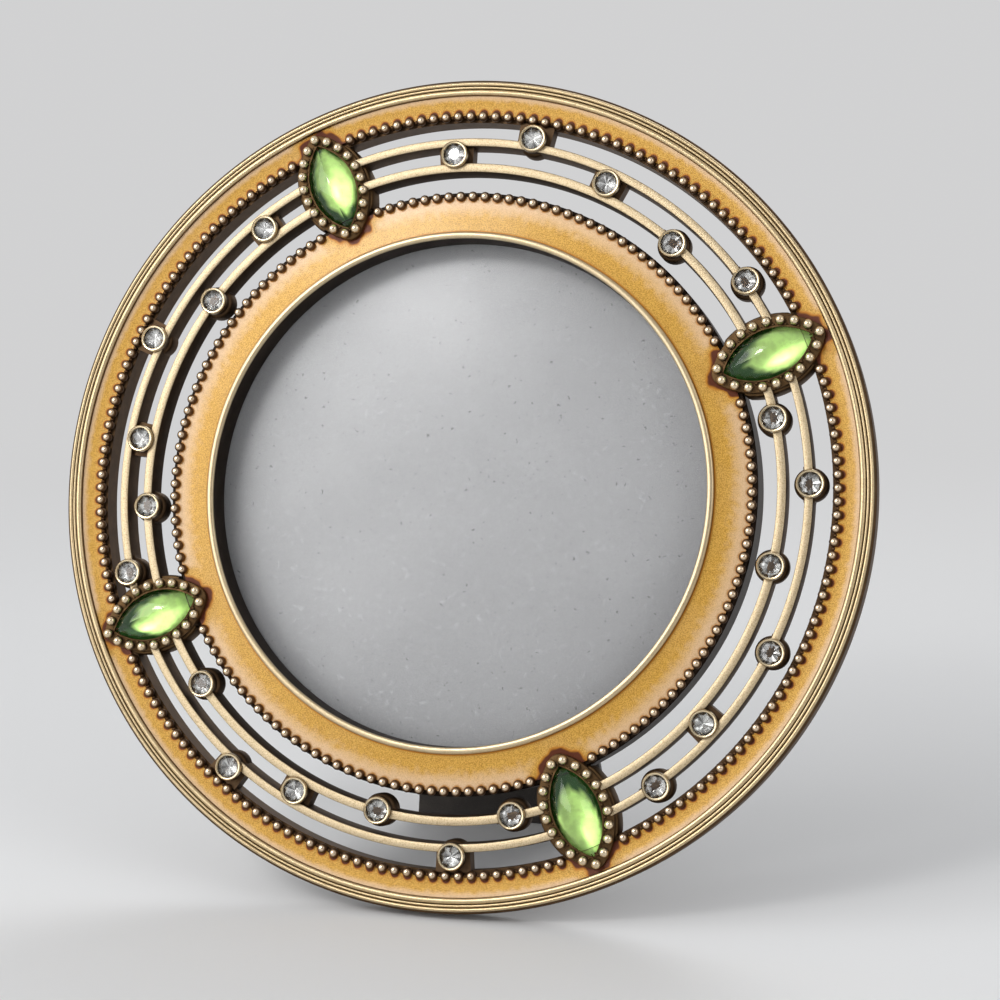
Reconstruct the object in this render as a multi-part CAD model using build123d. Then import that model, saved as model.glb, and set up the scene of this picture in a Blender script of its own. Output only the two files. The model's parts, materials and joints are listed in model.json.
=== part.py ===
from build123d import *
from math import asin, atan2, cos, degrees, pi, radians, sin, sqrt, tan
import os

# Round jewelled photo frame, standing on its easel leg. Lengths are in millimetres.
#
# The frame is first built lying flat: X to the right and Y up across its face, Z towards the
# viewer, with the centre of the face at the origin and the front of the ridges at height zero.
# At the end it is leaned back and set down, so that Z is up and the face looks along -Y.

# Overall size and stance
overall_diameter = 154.0
lean_angle = 13.0
leg_opening_angle = 27.0

# Rim, its reeding and the outer enamel channel
rim_depth = 6.5
reed_groove_width = 1.5
reed_groove_depth = 0.6
reed_groove_bottom_share = 0.4
flat_ridge_width = 1.5
outer_channel_width = 4.8
channel_depth = 1.9

# Bezel, inner enamel channel and the wall that holds the glass and the back
bezel_width = 1.25
inner_channel_width = 7.7
glass_ledge_depth = 6.0
glass_ledge_width = 4.3
board_recess = 0.2

# Enamel, poured against the ridges and thinning out towards the beads
enamel_edge_depth = 0.9
enamel_bead_gap = 0.08

# Beads of the two rows and of the settings, each with four facets
bead_diameter = 1.9
inner_bead_pitch = 2.35
outer_bead_pitch = 2.4
bead_gap = 0.08
row_end_gap = 0.15

# Openwork: two bars and the three slots beside them
bar_depth = 4.4
bar_face_drop = 0.1
inner_slot_width = 3.55
inner_bar_width = 1.6
middle_slot_width = 3.25
outer_bar_width = 1.5
outer_slot_width = 3.35

# Navette stones and their settings
navette_angles = [24.9, 115.3, 204.2, 294.9]
navette_width = 8.6
navette_girdle = 0.9
navette_dome = 3.0
navette_bulge_share = 0.66
navette_top_share = 0.25
navette_facets = 6
stone_fit = 0.03
setting_collar_width = 2.3
setting_bead_offset = 1.22
setting_bead_count = 19
setting_ridge_gap = 0.475
setting_face_drop = 0.25
setting_depth = 5.0
seat_depth = 1.0
solder_gap = 0.04

# Crystals in their cups
crystal_sides = 8
cup_diameter = 5.2
cup_wall = 0.75
cup_rise = 0.9
cup_depth = 3.6
crystal_crown = 0.75
crystal_table_share = 0.55
crystal_pavilion = 1.5
inner_bar_cup_shift = 0.2
outer_bar_cup_shift = 0.3

# Glass, photo card and back
glass_thickness = 1.2
card_thickness = 0.4
card_clearance = 0.5
board_thickness = 2.6
rebate_clearance = 0.3

# Easel hinge
hinge_plate_margin = 8.3
hinge_metal = 0.6
hinge_pin_radius = 0.8
hinge_knuckle_radius = 1.6
hinge_gap = 0.3
pin_grip = 0.02
pin_running_clearance = 0.06
hinge_plate_width = 22.0
hinge_plate_height = 13.0
plate_knuckle_length = 5.0
leaf_knuckle_length = 8.0
leaf_width = 16.0
leaf_length = 13.0
stop_clearance = 0.2

# Prongs stamped on the hinge, pressed into slots in the board and the leg
prong_width = 2.4
prong_bite = 1.7
prong_fit = 0.02
plate_prong_spacing = 15.0
leaf_prong_spacing = 10.0
prong_edge_distance = 3.0

# Easel leg
leg_thickness = 2.0
leg_top_width = 28.0
leg_foot_width = 42.0
leg_waist_narrowing = 2.0
leg_corner_radius = 3.0

# Turn buttons and their screws
button_angles = [0.0, 180.0]
button_names = ["right", "left"]
button_length = 9.0
button_width = 4.0
button_corner = 1.1
button_thickness = 0.9
button_clearance = 0.1
button_screw_radius = 1.0
button_running_clearance = 0.08
screw_fit = 0.02
screw_head_radius = 1.9
screw_head_sides = 8
screw_head_height = 0.8
screw_bite = 3.2

# How far every cutting tool runs past the face that it cuts
overrun = 1.0

# Places worked out from the sizes above
rim_radius = overall_diameter / 2
outer_channel_radius = rim_radius - reed_groove_width - flat_ridge_width
rim_inner_radius = outer_channel_radius - outer_channel_width
outer_bar_radius = rim_inner_radius - outer_slot_width - outer_bar_width / 2
inner_bar_radius = outer_bar_radius - outer_bar_width / 2 - middle_slot_width - inner_bar_width / 2
inner_ring_radius = inner_bar_radius - inner_bar_width / 2 - inner_slot_width
bezel_radius = inner_ring_radius - inner_channel_width
window_radius = bezel_radius - bezel_width
rebate_radius = window_radius + glass_ledge_width
floor_height = -channel_depth
bead_radius = bead_diameter / 2
outer_bead_row_radius = rim_inner_radius + bead_radius
inner_bead_row_radius = inner_ring_radius - bead_radius
navette_radius = (inner_ring_radius + rim_inner_radius) / 2
navette_length = 2 * (outer_channel_radius - setting_ridge_gap - setting_collar_width - navette_radius)
setting_face_height = -setting_face_drop
cup_radius = cup_diameter / 2
board_back = -glass_ledge_depth - glass_thickness - card_thickness - board_thickness
inner_ring_depth = board_recess - board_back
hinge_reach = hinge_knuckle_radius + hinge_gap
hinge_axis_height = board_back - hinge_reach
hinge_height = rebate_radius - hinge_plate_margin - hinge_plate_height
button_circle_radius = (rebate_radius + inner_ring_radius) / 2

quarter_names = ["top", "left", "bottom", "right"]
corner_names = ["upper_right", "upper_left", "lower_left", "lower_right"]

# Crystals of each quarter: how far each stands from one setting to the next, as a share of the
# way that is clear for its cup, and the lane that the cup stands in
crystal_shares = {
    "top": [
        (0.054, "outer_bar"), (0.225, "inner_bar"), (0.44, "between"),
        (0.633, "slot"), (0.811, "between"),
    ],
    "left": [
        (0.079, "between"), (0.293, "inner_bar"), (0.449, "slot"),
        (0.683, "between"), (0.853, "inner_bar"), (0.997, "outer_bar"),
    ],
    "bottom": [
        (0.087, "inner_bar"), (0.279, "slot"), (0.434, "between"),
        (0.64, "inner_bar"), (0.817, "slot"), (0.971, "inner_bar"),
    ],
    "right": [
        (0.072, "outer_bar"), (0.236, "between"), (0.446, "outer_bar"),
        (0.626, "inner_bar"), (0.812, "outer_bar"), (0.974, "inner_bar"),
    ],
}
lane_radius = {
    "inner_bar": inner_bar_radius - inner_bar_cup_shift,
    "between": (inner_bar_radius + outer_bar_radius) / 2,
    "outer_bar": outer_bar_radius + outer_bar_cup_shift,
    "slot": rim_inner_radius - cup_radius - solder_gap,
}


def polar(radius, angle):
    """Gives the point of the flat frame at a radius and an angle in degrees."""
    return radius * cos(radians(angle)), radius * sin(radians(angle))


def around(angle):
    """Turns a piece that was drawn on the +X side of the frame to its angle."""
    return Rot(0, 0, angle)


def ring_of_section(points):
    """Revolves a section, given as radius and height, round the axis of the frame."""
    section = Plane.XZ * make_face(Polyline(*points, close=True))
    return revolve(section, Axis.Z)


def slab(face, low, high):
    """Extrudes a face drawn on the XY plane between two heights."""
    return Pos(0, 0, low) * extrude(face, high - low)


def disc(radius, low, high):
    """Makes a round slab between two heights."""
    return slab(Circle(radius), low, high)


def flat_face(corners):
    """Makes one flat facet from its corners."""
    return Face(Wire.make_polygon([Vector(*corner) for corner in corners], close=True))


def faceted(loops):
    """Closes a solid with flat facets through loops of points, each loop a polygon or one point."""
    facets = [flat_face(loop) for loop in (loops[0], loops[-1]) if len(loop) > 1]
    for below, above in zip(loops, loops[1:]):
        for index in range(max(len(below), len(above))):
            pair = (index, index + 1)
            low = [below[place % len(below)] for place in pair]
            high = [above[place % len(above)] for place in pair[::-1]]
            facets.append(flat_face(dict.fromkeys(low + high)))
    return Solid(Shell(facets))


# Stone outline, two equal arcs that meet in points


def navette_arc_radius():
    """Gives the radius of the two arcs that bound a navette stone."""
    half_length = navette_length / 2
    half_width = navette_width / 2
    return (half_length**2 + half_width**2) / (2 * half_width)


def navette_arc_angle():
    """Gives half the angle, in radians, that each arc of the stone spans."""
    return asin(navette_length / 2 / navette_arc_radius())


def navette_half_width(along, margin):
    """Gives half the width of the outline with a margin, at a distance along it from its middle."""
    tip = (navette_arc_radius() + margin) * sin(navette_arc_angle())
    if abs(along) <= tip:
        return sqrt((navette_arc_radius() + margin) ** 2 - along**2) - (
            navette_arc_radius() - navette_width / 2
        )
    return sqrt(max(0, margin**2 - (abs(along) - navette_length / 2) ** 2))


def navette_side(margin, facets):
    """Lists points along one side of the outline, from the outer tip to the inner one."""
    arc = navette_arc_radius()
    half = navette_arc_angle()
    centre = arc - navette_width / 2
    tip_turn = pi / 2 - half
    points = []
    if margin > 0:
        points.append((navette_length / 2 + margin, 0))
        points.append(
            (
                navette_length / 2 + margin * cos(tip_turn / 2),
                margin * sin(tip_turn / 2),
            )
        )
    for step in range(facets + 1):
        turn = half - 2 * half * step / facets
        points.append(((arc + margin) * sin(turn), (arc + margin) * cos(turn) - centre))
    if margin > 0:
        points.append(
            (
                -navette_length / 2 - margin * cos(tip_turn / 2),
                margin * sin(tip_turn / 2),
            )
        )
        points.append((-navette_length / 2 - margin, 0))
    return points


def navette_outline(margin):
    """Lists the corners of the stone's outline, grown by a margin, against the clock."""
    upper = navette_side(margin, navette_facets)
    lower = [(x, -y) for x, y in reversed(upper[1:-1])]
    return upper + lower


def navette_face(margin):
    """Makes the face inside the stone's outline grown by a margin."""
    return make_face(Polyline(*navette_outline(margin), close=True))


def at_setting(shape, angle):
    """Puts a piece drawn round a navette's own centre at its place on the frame."""
    return around(angle) * Pos(navette_radius, 0, 0) * shape


# Rings


def outer_ring():
    """Makes the reeded rim with the floor of the outer enamel channel."""
    groove_radius = outer_channel_radius + flat_ridge_width
    return ring_of_section(
        [
            (rim_inner_radius, floor_height),
            (outer_channel_radius, floor_height),
            (outer_channel_radius, 0),
            (groove_radius, 0),
            (groove_radius + reed_groove_width * reed_groove_bottom_share, -reed_groove_depth),
            (rim_radius, 0),
            (rim_radius, -rim_depth),
            (rim_inner_radius, -rim_depth),
        ]
    )


def inner_ring():
    """Makes the bezel, the floor of the inner enamel channel and the rebate behind the window."""
    ring = ring_of_section(
        [
            (window_radius, 0),
            (bezel_radius, 0),
            (bezel_radius, floor_height),
            (inner_ring_radius, floor_height),
            (inner_ring_radius, -inner_ring_depth),
            (rebate_radius, -inner_ring_depth),
            (rebate_radius, -glass_ledge_depth),
            (window_radius, -glass_ledge_depth),
        ]
    )
    for angle in button_angles:
        hole = disc(
            button_screw_radius + screw_fit, -inner_ring_depth - overrun, screw_bite - inner_ring_depth
        )
        ring -= button_place(angle) * hole
    return ring


def setting_cutter():
    """Makes the space that a setting's collar takes out of the enamel, above the channel floors."""
    return slab(navette_face(setting_collar_width + solder_gap), floor_height - overrun, overrun)


def enamel(ring):
    """Cuts the four settings out of a ring of enamel."""
    for angle in navette_angles:
        ring -= at_setting(setting_cutter(), angle)
    return ring


def outer_enamel():
    """Makes the enamel between the rim and the outer row of beads."""
    return enamel(
        ring_of_section(
            [
                (rim_inner_radius + bead_diameter + enamel_bead_gap, floor_height),
                (outer_channel_radius, floor_height),
                (outer_channel_radius, -enamel_edge_depth),
            ]
        )
    )


def inner_enamel():
    """Makes the enamel between the bezel and the inner row of beads."""
    return enamel(
        ring_of_section(
            [
                (bezel_radius, floor_height),
                (inner_ring_radius - bead_diameter - enamel_bead_gap, floor_height),
                (bezel_radius, -enamel_edge_depth),
            ]
        )
    )


# Beads


def bead(length):
    """Makes a bead of four facets, with its length along the row that it stands in."""
    half = length / 2
    return faceted(
        [
            [(0, -half, 0), (bead_radius, 0, 0), (0, half, 0), (-bead_radius, 0, 0)],
            [(0, 0, bead_diameter)],
        ]
    )


def bead_row(row_radius, pitch, start, end):
    """Makes a row of beads round the frame between the settings at two angles."""
    nearest = abs(row_radius - navette_radius) - bead_radius
    clear = navette_half_width(nearest, setting_collar_width) + row_end_gap
    half_gap = degrees(asin(clear / row_radius))
    first = start + half_gap
    span = end - half_gap - first
    count = round(radians(span) * row_radius / pitch)
    step = span / count
    grain = bead(radians(step) * row_radius - bead_gap)
    place = Pos(row_radius, 0, floor_height)
    return [around(first + step * (index + 0.5)) * place * grain for index in range(count)]


def quarter_span(index):
    """Gives the angles of the two settings that bound a quarter of the openwork."""
    start = navette_angles[index]
    end = navette_angles[(index + 1) % len(navette_angles)]
    return start, end if end > start else end + 360


# Navette settings and stones


def setting_beads():
    """Makes the beads round a stone, with one on the axis at the outer tip."""
    side = navette_side(setting_bead_offset, 3 * navette_facets)
    path = Polyline(*(side + [(x, -y) for x, y in side[-2::-1]]))
    grain = bead(path.length / setting_bead_count - bead_gap)
    beads = []
    for index in range(setting_bead_count):
        centre = path.position_at(index / setting_bead_count)
        along = path.tangent_at(index / setting_bead_count)
        turn = 90 if index == 0 else degrees(atan2(along.Y, along.X))
        beads.append(Pos(centre.X, centre.Y, setting_face_height) * Rot(0, 0, turn - 90) * grain)
    return beads


def navette_setting():
    """Makes a setting: a collar that is soldered on both rings, with a seat for the stone."""
    collar = slab(navette_face(setting_collar_width), floor_height, setting_face_height)
    web = slab(navette_face(setting_collar_width), -setting_depth, floor_height)
    between = Pos(-navette_radius, 0, 0) * slab(
        Circle(rim_inner_radius - solder_gap) - Circle(inner_ring_radius + solder_gap),
        -setting_depth,
        floor_height,
    )
    seat = slab(navette_face(stone_fit), setting_face_height - seat_depth, overrun)
    return collar + (web & between) - seat


def navette():
    """Makes a navette cabochon: a short girdle under a domed top."""
    low = setting_face_height - seat_depth
    rise = low + navette_girdle
    levels = [
        (1, low),
        (1, rise),
        (navette_bulge_share, rise + navette_dome * (1 - navette_bulge_share**2)),
        (navette_top_share, rise + navette_dome),
    ]
    outline = navette_outline(0)
    loops = [[(x * share, y * share, height) for x, y in outline] for share, height in levels]
    return faceted(loops)


# Openwork bars and crystal cups


def bar_ring(radius, width):
    """Makes a whole ring of a bar."""
    ring = Circle(radius + width / 2) - Circle(radius - width / 2)
    return slab(ring, -bar_face_drop - bar_depth, -bar_face_drop)


def cup_prism(low, high):
    """Makes the prism of a cup between two heights."""
    return slab(RegularPolygon(cup_radius, crystal_sides, rotation=180 / crystal_sides), low, high)


def crystal_places(index):
    """Lists the place of every crystal in a quarter of the openwork."""
    start, end = quarter_span(index)
    places = []
    for share, lane in crystal_shares[quarter_names[index]]:
        radius = lane_radius[lane]
        clear = degrees(asin((navette_width / 2 + setting_collar_width + cup_radius) / radius))
        angle = start + clear + share * (end - start - 2 * clear)
        places.append(around(angle) * Pos(radius, 0, 0))
    return places


def bars(radius, width):
    """Makes the four arcs of a bar, notched for the cups and cut to the settings."""
    ring = bar_ring(radius, width)
    for angle in navette_angles:
        reach = setting_collar_width + solder_gap
        ring -= at_setting(slab(navette_face(reach), -setting_depth - overrun, overrun), angle)
    for index in range(len(quarter_names)):
        for place in crystal_places(index):
            ring -= place * cup_prism(cup_rise - cup_depth, overrun)
    return ring


def crystal():
    """Makes a pointed-back crystal whose girdle is level with the rim of its cup."""
    levels = [(1, cup_rise), (crystal_table_share, cup_rise + crystal_crown)]
    turns = [360 * (side + 0.5) / crystal_sides for side in range(crystal_sides)]
    girdle_radius = cup_radius - cup_wall
    girdle, table = [
        [(*polar(girdle_radius * share, turn), height) for turn in turns] for share, height in levels
    ]
    return faceted([[(0, 0, cup_rise - crystal_pavilion)], girdle, table])


def crystal_cup():
    """Makes a cup with a pointed seat that the crystal fills."""
    return cup_prism(cup_rise - cup_depth, cup_rise) - crystal()


# Glass, card and back


def glass_pane():
    """Makes the round pane that sits on the ledge behind the window."""
    return disc(rebate_radius - rebate_clearance, -glass_ledge_depth - glass_thickness, -glass_ledge_depth)


def photo_card():
    """Makes the blank round card behind the glass."""
    front = -glass_ledge_depth - glass_thickness
    return disc(rebate_radius - card_clearance, front - card_thickness, front)


def back_board():
    """Makes the round flocked board that closes the back, slotted for the prongs of the hinge."""
    front = -glass_ledge_depth - glass_thickness - card_thickness
    board = disc(rebate_radius - rebate_clearance, board_back, front)
    for x in (-plate_prong_spacing / 2, plate_prong_spacing / 2):
        board -= at_pin(prong(x, plate_prong_height(), prong_fit, -overrun, hinge_reach + prong_bite))
    return board


# Easel hinge and leg, drawn folded flat against the back with the pin's axis as their origin


def at_pin(shape):
    """Puts a piece drawn round the hinge pin's axis at its place on the back."""
    return Pos(0, hinge_height, hinge_axis_height) * shape


def opened(shape):
    """Swings a piece of the leg out from folded to its standing place."""
    return at_pin(Rot(leg_opening_angle, 0, 0) * shape)


def box(x_low, x_high, y_low, y_high, z_low, z_high):
    """Makes a block between three pairs of limits."""
    size = (x_high - x_low, y_high - y_low, z_high - z_low)
    corner = Pos(x_low, y_low, z_low)
    return corner * Box(*size, align=(Align.MIN, Align.MIN, Align.MIN))


def barrel(radius, x_low, x_high):
    """Makes a round bar along the pin's axis."""
    return Pos(x_low, 0, 0) * Rot(0, 90, 0) * extrude(Circle(radius), x_high - x_low)


def plate_prong_height():
    """Gives how far above the pin the prongs of the hinge plate stand."""
    return hinge_plate_height - prong_edge_distance


def prong(x, y, margin, low, high):
    """Makes a flat prong, grown by a margin, that runs along Z between two heights."""
    half = prong_width / 2 + margin
    thick = hinge_metal / 2 + margin
    return box(x - half, x + half, y - thick, y + thick, low, high)


def hinge_plate():
    """Makes the fixed half of the hinge, with a knuckle at each side and two prongs."""
    inner = leaf_knuckle_length / 2 + hinge_gap
    outer = inner + plate_knuckle_length
    half = hinge_plate_width / 2
    plate = box(-half, half, 0, hinge_plate_height, hinge_reach - hinge_metal, hinge_reach)
    plate -= box(-inner, inner, -overrun, hinge_reach, -overrun, hinge_reach + overrun)
    for low, high in ((-outer, -inner), (inner, outer)):
        plate += barrel(hinge_knuckle_radius, low, high)
        plate += box(low, high, 0, hinge_knuckle_radius, 0, hinge_reach)
    plate -= barrel(hinge_pin_radius + pin_grip, -half, half)
    for x in (-plate_prong_spacing / 2, plate_prong_spacing / 2):
        plate += prong(x, plate_prong_height(), 0, hinge_reach - hinge_metal, hinge_reach + prong_bite)
    return at_pin(plate)


def hinge_pin():
    """Makes the pin, as long as the knuckles are together."""
    reach = leaf_knuckle_length / 2 + hinge_gap + plate_knuckle_length
    return at_pin(barrel(hinge_pin_radius, -reach, reach))


def hinge_leaf():
    """Makes the moving half of the hinge, pressed into the leg's front by two prongs."""
    face = -hinge_reach
    half = leaf_knuckle_length / 2
    shoulder = -hinge_knuckle_radius - 2 * hinge_gap
    leaf = barrel(hinge_knuckle_radius, -half, half)
    leaf += box(-half, half, shoulder, 0, face, face + hinge_metal)
    leaf += box(-leaf_width / 2, leaf_width / 2, -leaf_length, shoulder, face, face + hinge_metal)
    leaf -= barrel(hinge_pin_radius + pin_running_clearance, -half - overrun, half + overrun)
    for x in (-leaf_prong_spacing / 2, leaf_prong_spacing / 2):
        leaf += prong(x, prong_edge_distance - leaf_length, 0, face - prong_bite, face + hinge_metal)
    return opened(leaf)


def floor_of(y, z):
    """Gives how high a point of the flat frame stands once the frame leans."""
    return y * cos(radians(lean_angle)) + z * sin(radians(lean_angle))


def leg_stop_height():
    """Gives how far the leg runs above the pin, where its top bears on the plate when open."""
    turn = radians(leg_opening_angle)
    plate_face = hinge_reach - hinge_metal
    return (plate_face - stop_clearance + hinge_reach * cos(turn)) / sin(turn)


def leg_length():
    """Gives the leg's length below the pin, along its front, down to the table."""
    turn = radians(leg_opening_angle)
    y = hinge_height + hinge_reach * sin(turn)
    z = hinge_axis_height - hinge_reach * cos(turn)
    table = floor_of(-rim_radius, -rim_depth)
    return (floor_of(y, z) - table) / cos(turn - radians(lean_angle))


def easel_leg():
    """Makes the leg, wider at the foot, with its end cut to lie flat on the table."""
    top = leg_stop_height()
    front = -hinge_reach
    splay = radians(leg_opening_angle - lean_angle)
    foot = -leg_length() - 2 * leg_thickness * tan(splay)
    middle = (top + foot) / 2
    waist = (leg_top_width + leg_foot_width) / 4 - leg_waist_narrowing
    half_top = leg_top_width / 2
    half_foot = leg_foot_width / 2
    outline = [
        Line((-half_top, top), (half_top, top)),
        ThreePointArc((half_top, top), (waist, middle), (half_foot, foot)),
        Line((half_foot, foot), (-half_foot, foot)),
        ThreePointArc((-half_foot, foot), (-waist, middle), (-half_top, top)),
    ]
    blank = slab(make_face(outline), front - leg_thickness, front)
    blank = fillet(blank.edges().filter_by(Axis.Z).group_by(Axis.Y)[-1], leg_corner_radius)
    for x in (-leaf_prong_spacing / 2, leaf_prong_spacing / 2):
        height = prong_edge_distance - leaf_length
        blank -= prong(x, height, prong_fit, front - prong_bite, front + overrun)
    table = Pos(0, -leg_length(), front) * Rot(-degrees(splay), 0, 0)
    waste = box(-leg_foot_width, leg_foot_width, -leg_foot_width, 0, -leg_foot_width, leg_foot_width)
    return opened(blank - table * waste)


# Turn buttons


def button_place(angle):
    """Gives the pivot of a turn button, with its finger pointing at the frame's centre."""
    x, y = polar(button_circle_radius, angle)
    return Pos(x, y, 0) * Rot(0, 0, angle + 180)


def turn_button(angle):
    """Makes a flat button that turns on its screw behind the inner ring."""
    high = -inner_ring_depth - button_clearance
    strip = Rectangle(button_length, button_width)
    strip = chamfer(strip.vertices(), button_corner)
    shape = Pos((button_length - button_width) / 2, 0, 0) * strip
    shape -= Circle(button_screw_radius + button_running_clearance)
    return button_place(angle) * slab(shape, high - button_thickness, high)


def button_screw(angle):
    """Makes the screw that a turn button pivots on."""
    seat = -inner_ring_depth - 2 * button_clearance - button_thickness
    shank = disc(button_screw_radius, seat, screw_bite - inner_ring_depth)
    head = slab(RegularPolygon(screw_head_radius, screw_head_sides), seat - screw_head_height, seat)
    return button_place(angle) * (shank + head)


def build():
    """Makes every piece of the flat frame, by the name of its node."""
    pieces = {
        "outer_ring": outer_ring(),
        "inner_ring": inner_ring(),
        "outer_enamel": outer_enamel(),
        "inner_enamel": inner_enamel(),
        "outer_bars": bars(outer_bar_radius, outer_bar_width),
        "inner_bars": bars(inner_bar_radius, inner_bar_width),
        "glass_pane": glass_pane(),
        "photo_card": photo_card(),
        "back_board": back_board(),
        "hinge_plate": hinge_plate(),
        "hinge_pin": hinge_pin(),
        "hinge_leaf": hinge_leaf(),
        "easel_leg": easel_leg(),
    }
    for index, name in enumerate(quarter_names):
        start, end = quarter_span(index)
        pieces["outer_beads_" + name] = bead_row(outer_bead_row_radius, outer_bead_pitch, start, end)
        pieces["inner_beads_" + name] = bead_row(inner_bead_row_radius, inner_bead_pitch, start, end)
        pieces["crystal_cups_" + name] = [place * crystal_cup() for place in crystal_places(index)]
        pieces["crystals_" + name] = [place * crystal() for place in crystal_places(index)]
    for angle, name in zip(navette_angles, corner_names):
        pieces["navette_setting_" + name] = at_setting(navette_setting(), angle)
        pieces["setting_beads_" + name] = [at_setting(grain, angle) for grain in setting_beads()]
        pieces["navette_" + name] = at_setting(navette(), angle)
    for angle, name in zip(button_angles, button_names):
        pieces["turn_button_" + name] = turn_button(angle)
        pieces["button_screw_" + name] = button_screw(angle)
    return pieces


def solids_of(piece):
    """Lists the solids of a piece, of a group or of a list of them."""
    if isinstance(piece, list):
        return [solid for each in piece for solid in solids_of(each)]
    return piece.solids()


def standing(pieces):
    """Leans the flat frame back and sets it down with its origin under its middle."""
    lean = Rot(90 - lean_angle, 0, 0)
    leaned = {name: Compound([lean * solid for solid in solids_of(piece)]) for name, piece in pieces.items()}
    room = Compound(list(leaned.values())).bounding_box()
    shift = Pos(-(room.min.X + room.max.X) / 2, -(room.min.Y + room.max.Y) / 2, -room.min.Z)
    return {name: shift * shape for name, shape in leaned.items()}


parts = standing(build())

if __name__ == "__main__":
    os.makedirs("parts", exist_ok=True)
    for node, shape in parts.items():
        export_step(shape, f"parts/{node}.step")
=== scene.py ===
"""Looks of a round jewelled photo frame that leans back on its easel leg.

Every piece is drawn on the flat frame in millimetres: X to the right and Y up across the face, Z
towards the viewer, with the centre of the face at the origin. It is then leaned back and set in
metres on the frame's own place.
"""

import json
import logging
import math
from bisect import bisect_left
from collections.abc import Iterable, Sequence
from dataclasses import dataclass, field
from enum import Enum

import bpy
from mathutils import Matrix, Vector, noise

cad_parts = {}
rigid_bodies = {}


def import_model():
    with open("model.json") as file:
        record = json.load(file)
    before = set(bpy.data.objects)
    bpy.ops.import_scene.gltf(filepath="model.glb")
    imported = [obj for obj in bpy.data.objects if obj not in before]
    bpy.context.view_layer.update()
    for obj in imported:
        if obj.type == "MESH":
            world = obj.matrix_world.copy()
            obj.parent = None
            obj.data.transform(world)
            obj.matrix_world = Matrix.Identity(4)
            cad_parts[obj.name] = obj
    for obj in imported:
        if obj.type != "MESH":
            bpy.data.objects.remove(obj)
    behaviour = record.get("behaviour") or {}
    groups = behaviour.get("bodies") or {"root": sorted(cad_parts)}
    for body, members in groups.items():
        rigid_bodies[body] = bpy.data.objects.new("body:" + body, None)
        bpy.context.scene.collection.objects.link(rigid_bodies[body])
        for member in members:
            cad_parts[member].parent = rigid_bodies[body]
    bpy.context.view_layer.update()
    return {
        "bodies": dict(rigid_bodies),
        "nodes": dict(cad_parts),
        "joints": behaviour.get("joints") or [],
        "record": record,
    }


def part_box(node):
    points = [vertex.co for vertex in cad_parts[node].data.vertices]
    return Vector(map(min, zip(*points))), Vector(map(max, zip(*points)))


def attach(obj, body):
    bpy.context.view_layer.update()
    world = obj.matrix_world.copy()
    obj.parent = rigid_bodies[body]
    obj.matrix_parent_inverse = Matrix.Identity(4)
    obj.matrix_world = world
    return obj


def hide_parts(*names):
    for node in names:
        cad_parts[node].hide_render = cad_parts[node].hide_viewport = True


LOG = logging.getLogger("photo_frame")
MILLIMETRE = 0.001

Piece = bpy.types.Object
Material = bpy.types.Material
Socket = bpy.types.NodeSocket
Colour = tuple[float, float, float]
Point = tuple[float, float]
Ramp = tuple[float, float, float, float]


class Body(Enum):
    """The bodies that pieces ride on."""

    FRAME = "frame"
    LEG = "leg"
    BUTTON_RIGHT = "button_right"
    BUTTON_LEFT = "button_left"


class Slot(Enum):
    """The record's material slots."""

    GOLD = "gold"
    ENAMEL = "enamel"
    STONE = "green_stone"
    CRYSTAL = "crystal"
    PANE = "pane"
    CARD = "card"
    FLOCK = "flock"
    HINGE = "hinge_metal"


class Lane(Enum):
    """The lanes of the openwork in which the crystal cups stand."""

    INNER_BAR = "inner_bar"
    BETWEEN = "between"
    OUTER_BAR = "outer_bar"
    SLOT = "slot"


class Shading(Enum):
    """The greatest angle between faces that is shaded smooth, in degrees."""

    FLAT = 20.0
    CUT = 35.0
    RING = 38.0
    RAISED = 40.0
    SOFT = 50.0
    ROUND = 60.0


# Stance and layout of the flat frame


@dataclass(frozen=True)
class Stance:
    """How the flat frame leans back, and where the centre of its face lies.

    Attributes:
        lean: The angle by which the face leans back from upright, in degrees.
    """

    lean: float = 13.0

    @property
    def centre(self) -> Vector:
        """Works out the centre of the face from the box of the rim.

        Returns:
            The centre in metres.
        """
        low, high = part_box("outer_ring")
        radius = (high.x - low.x) / 2
        lean = math.radians(self.lean)
        return Vector(
            (
                (low.x + high.x) / 2,
                low.y + radius * math.sin(lean),
                high.z - radius * math.cos(lean),
            )
        )

    @property
    def normal(self) -> Vector:
        """Gives the direction in which the face looks."""
        lean = math.radians(self.lean)
        return Vector((0, -math.cos(lean), math.sin(lean)))

    @property
    def matrix(self) -> Matrix:
        """Gives the move from the flat frame in millimetres to its place in metres."""
        turn = Matrix.Rotation(math.radians(90 - self.lean), 4, "X")
        return Matrix.Translation(self.centre) @ turn @ Matrix.Scale(MILLIMETRE, 4)


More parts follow.
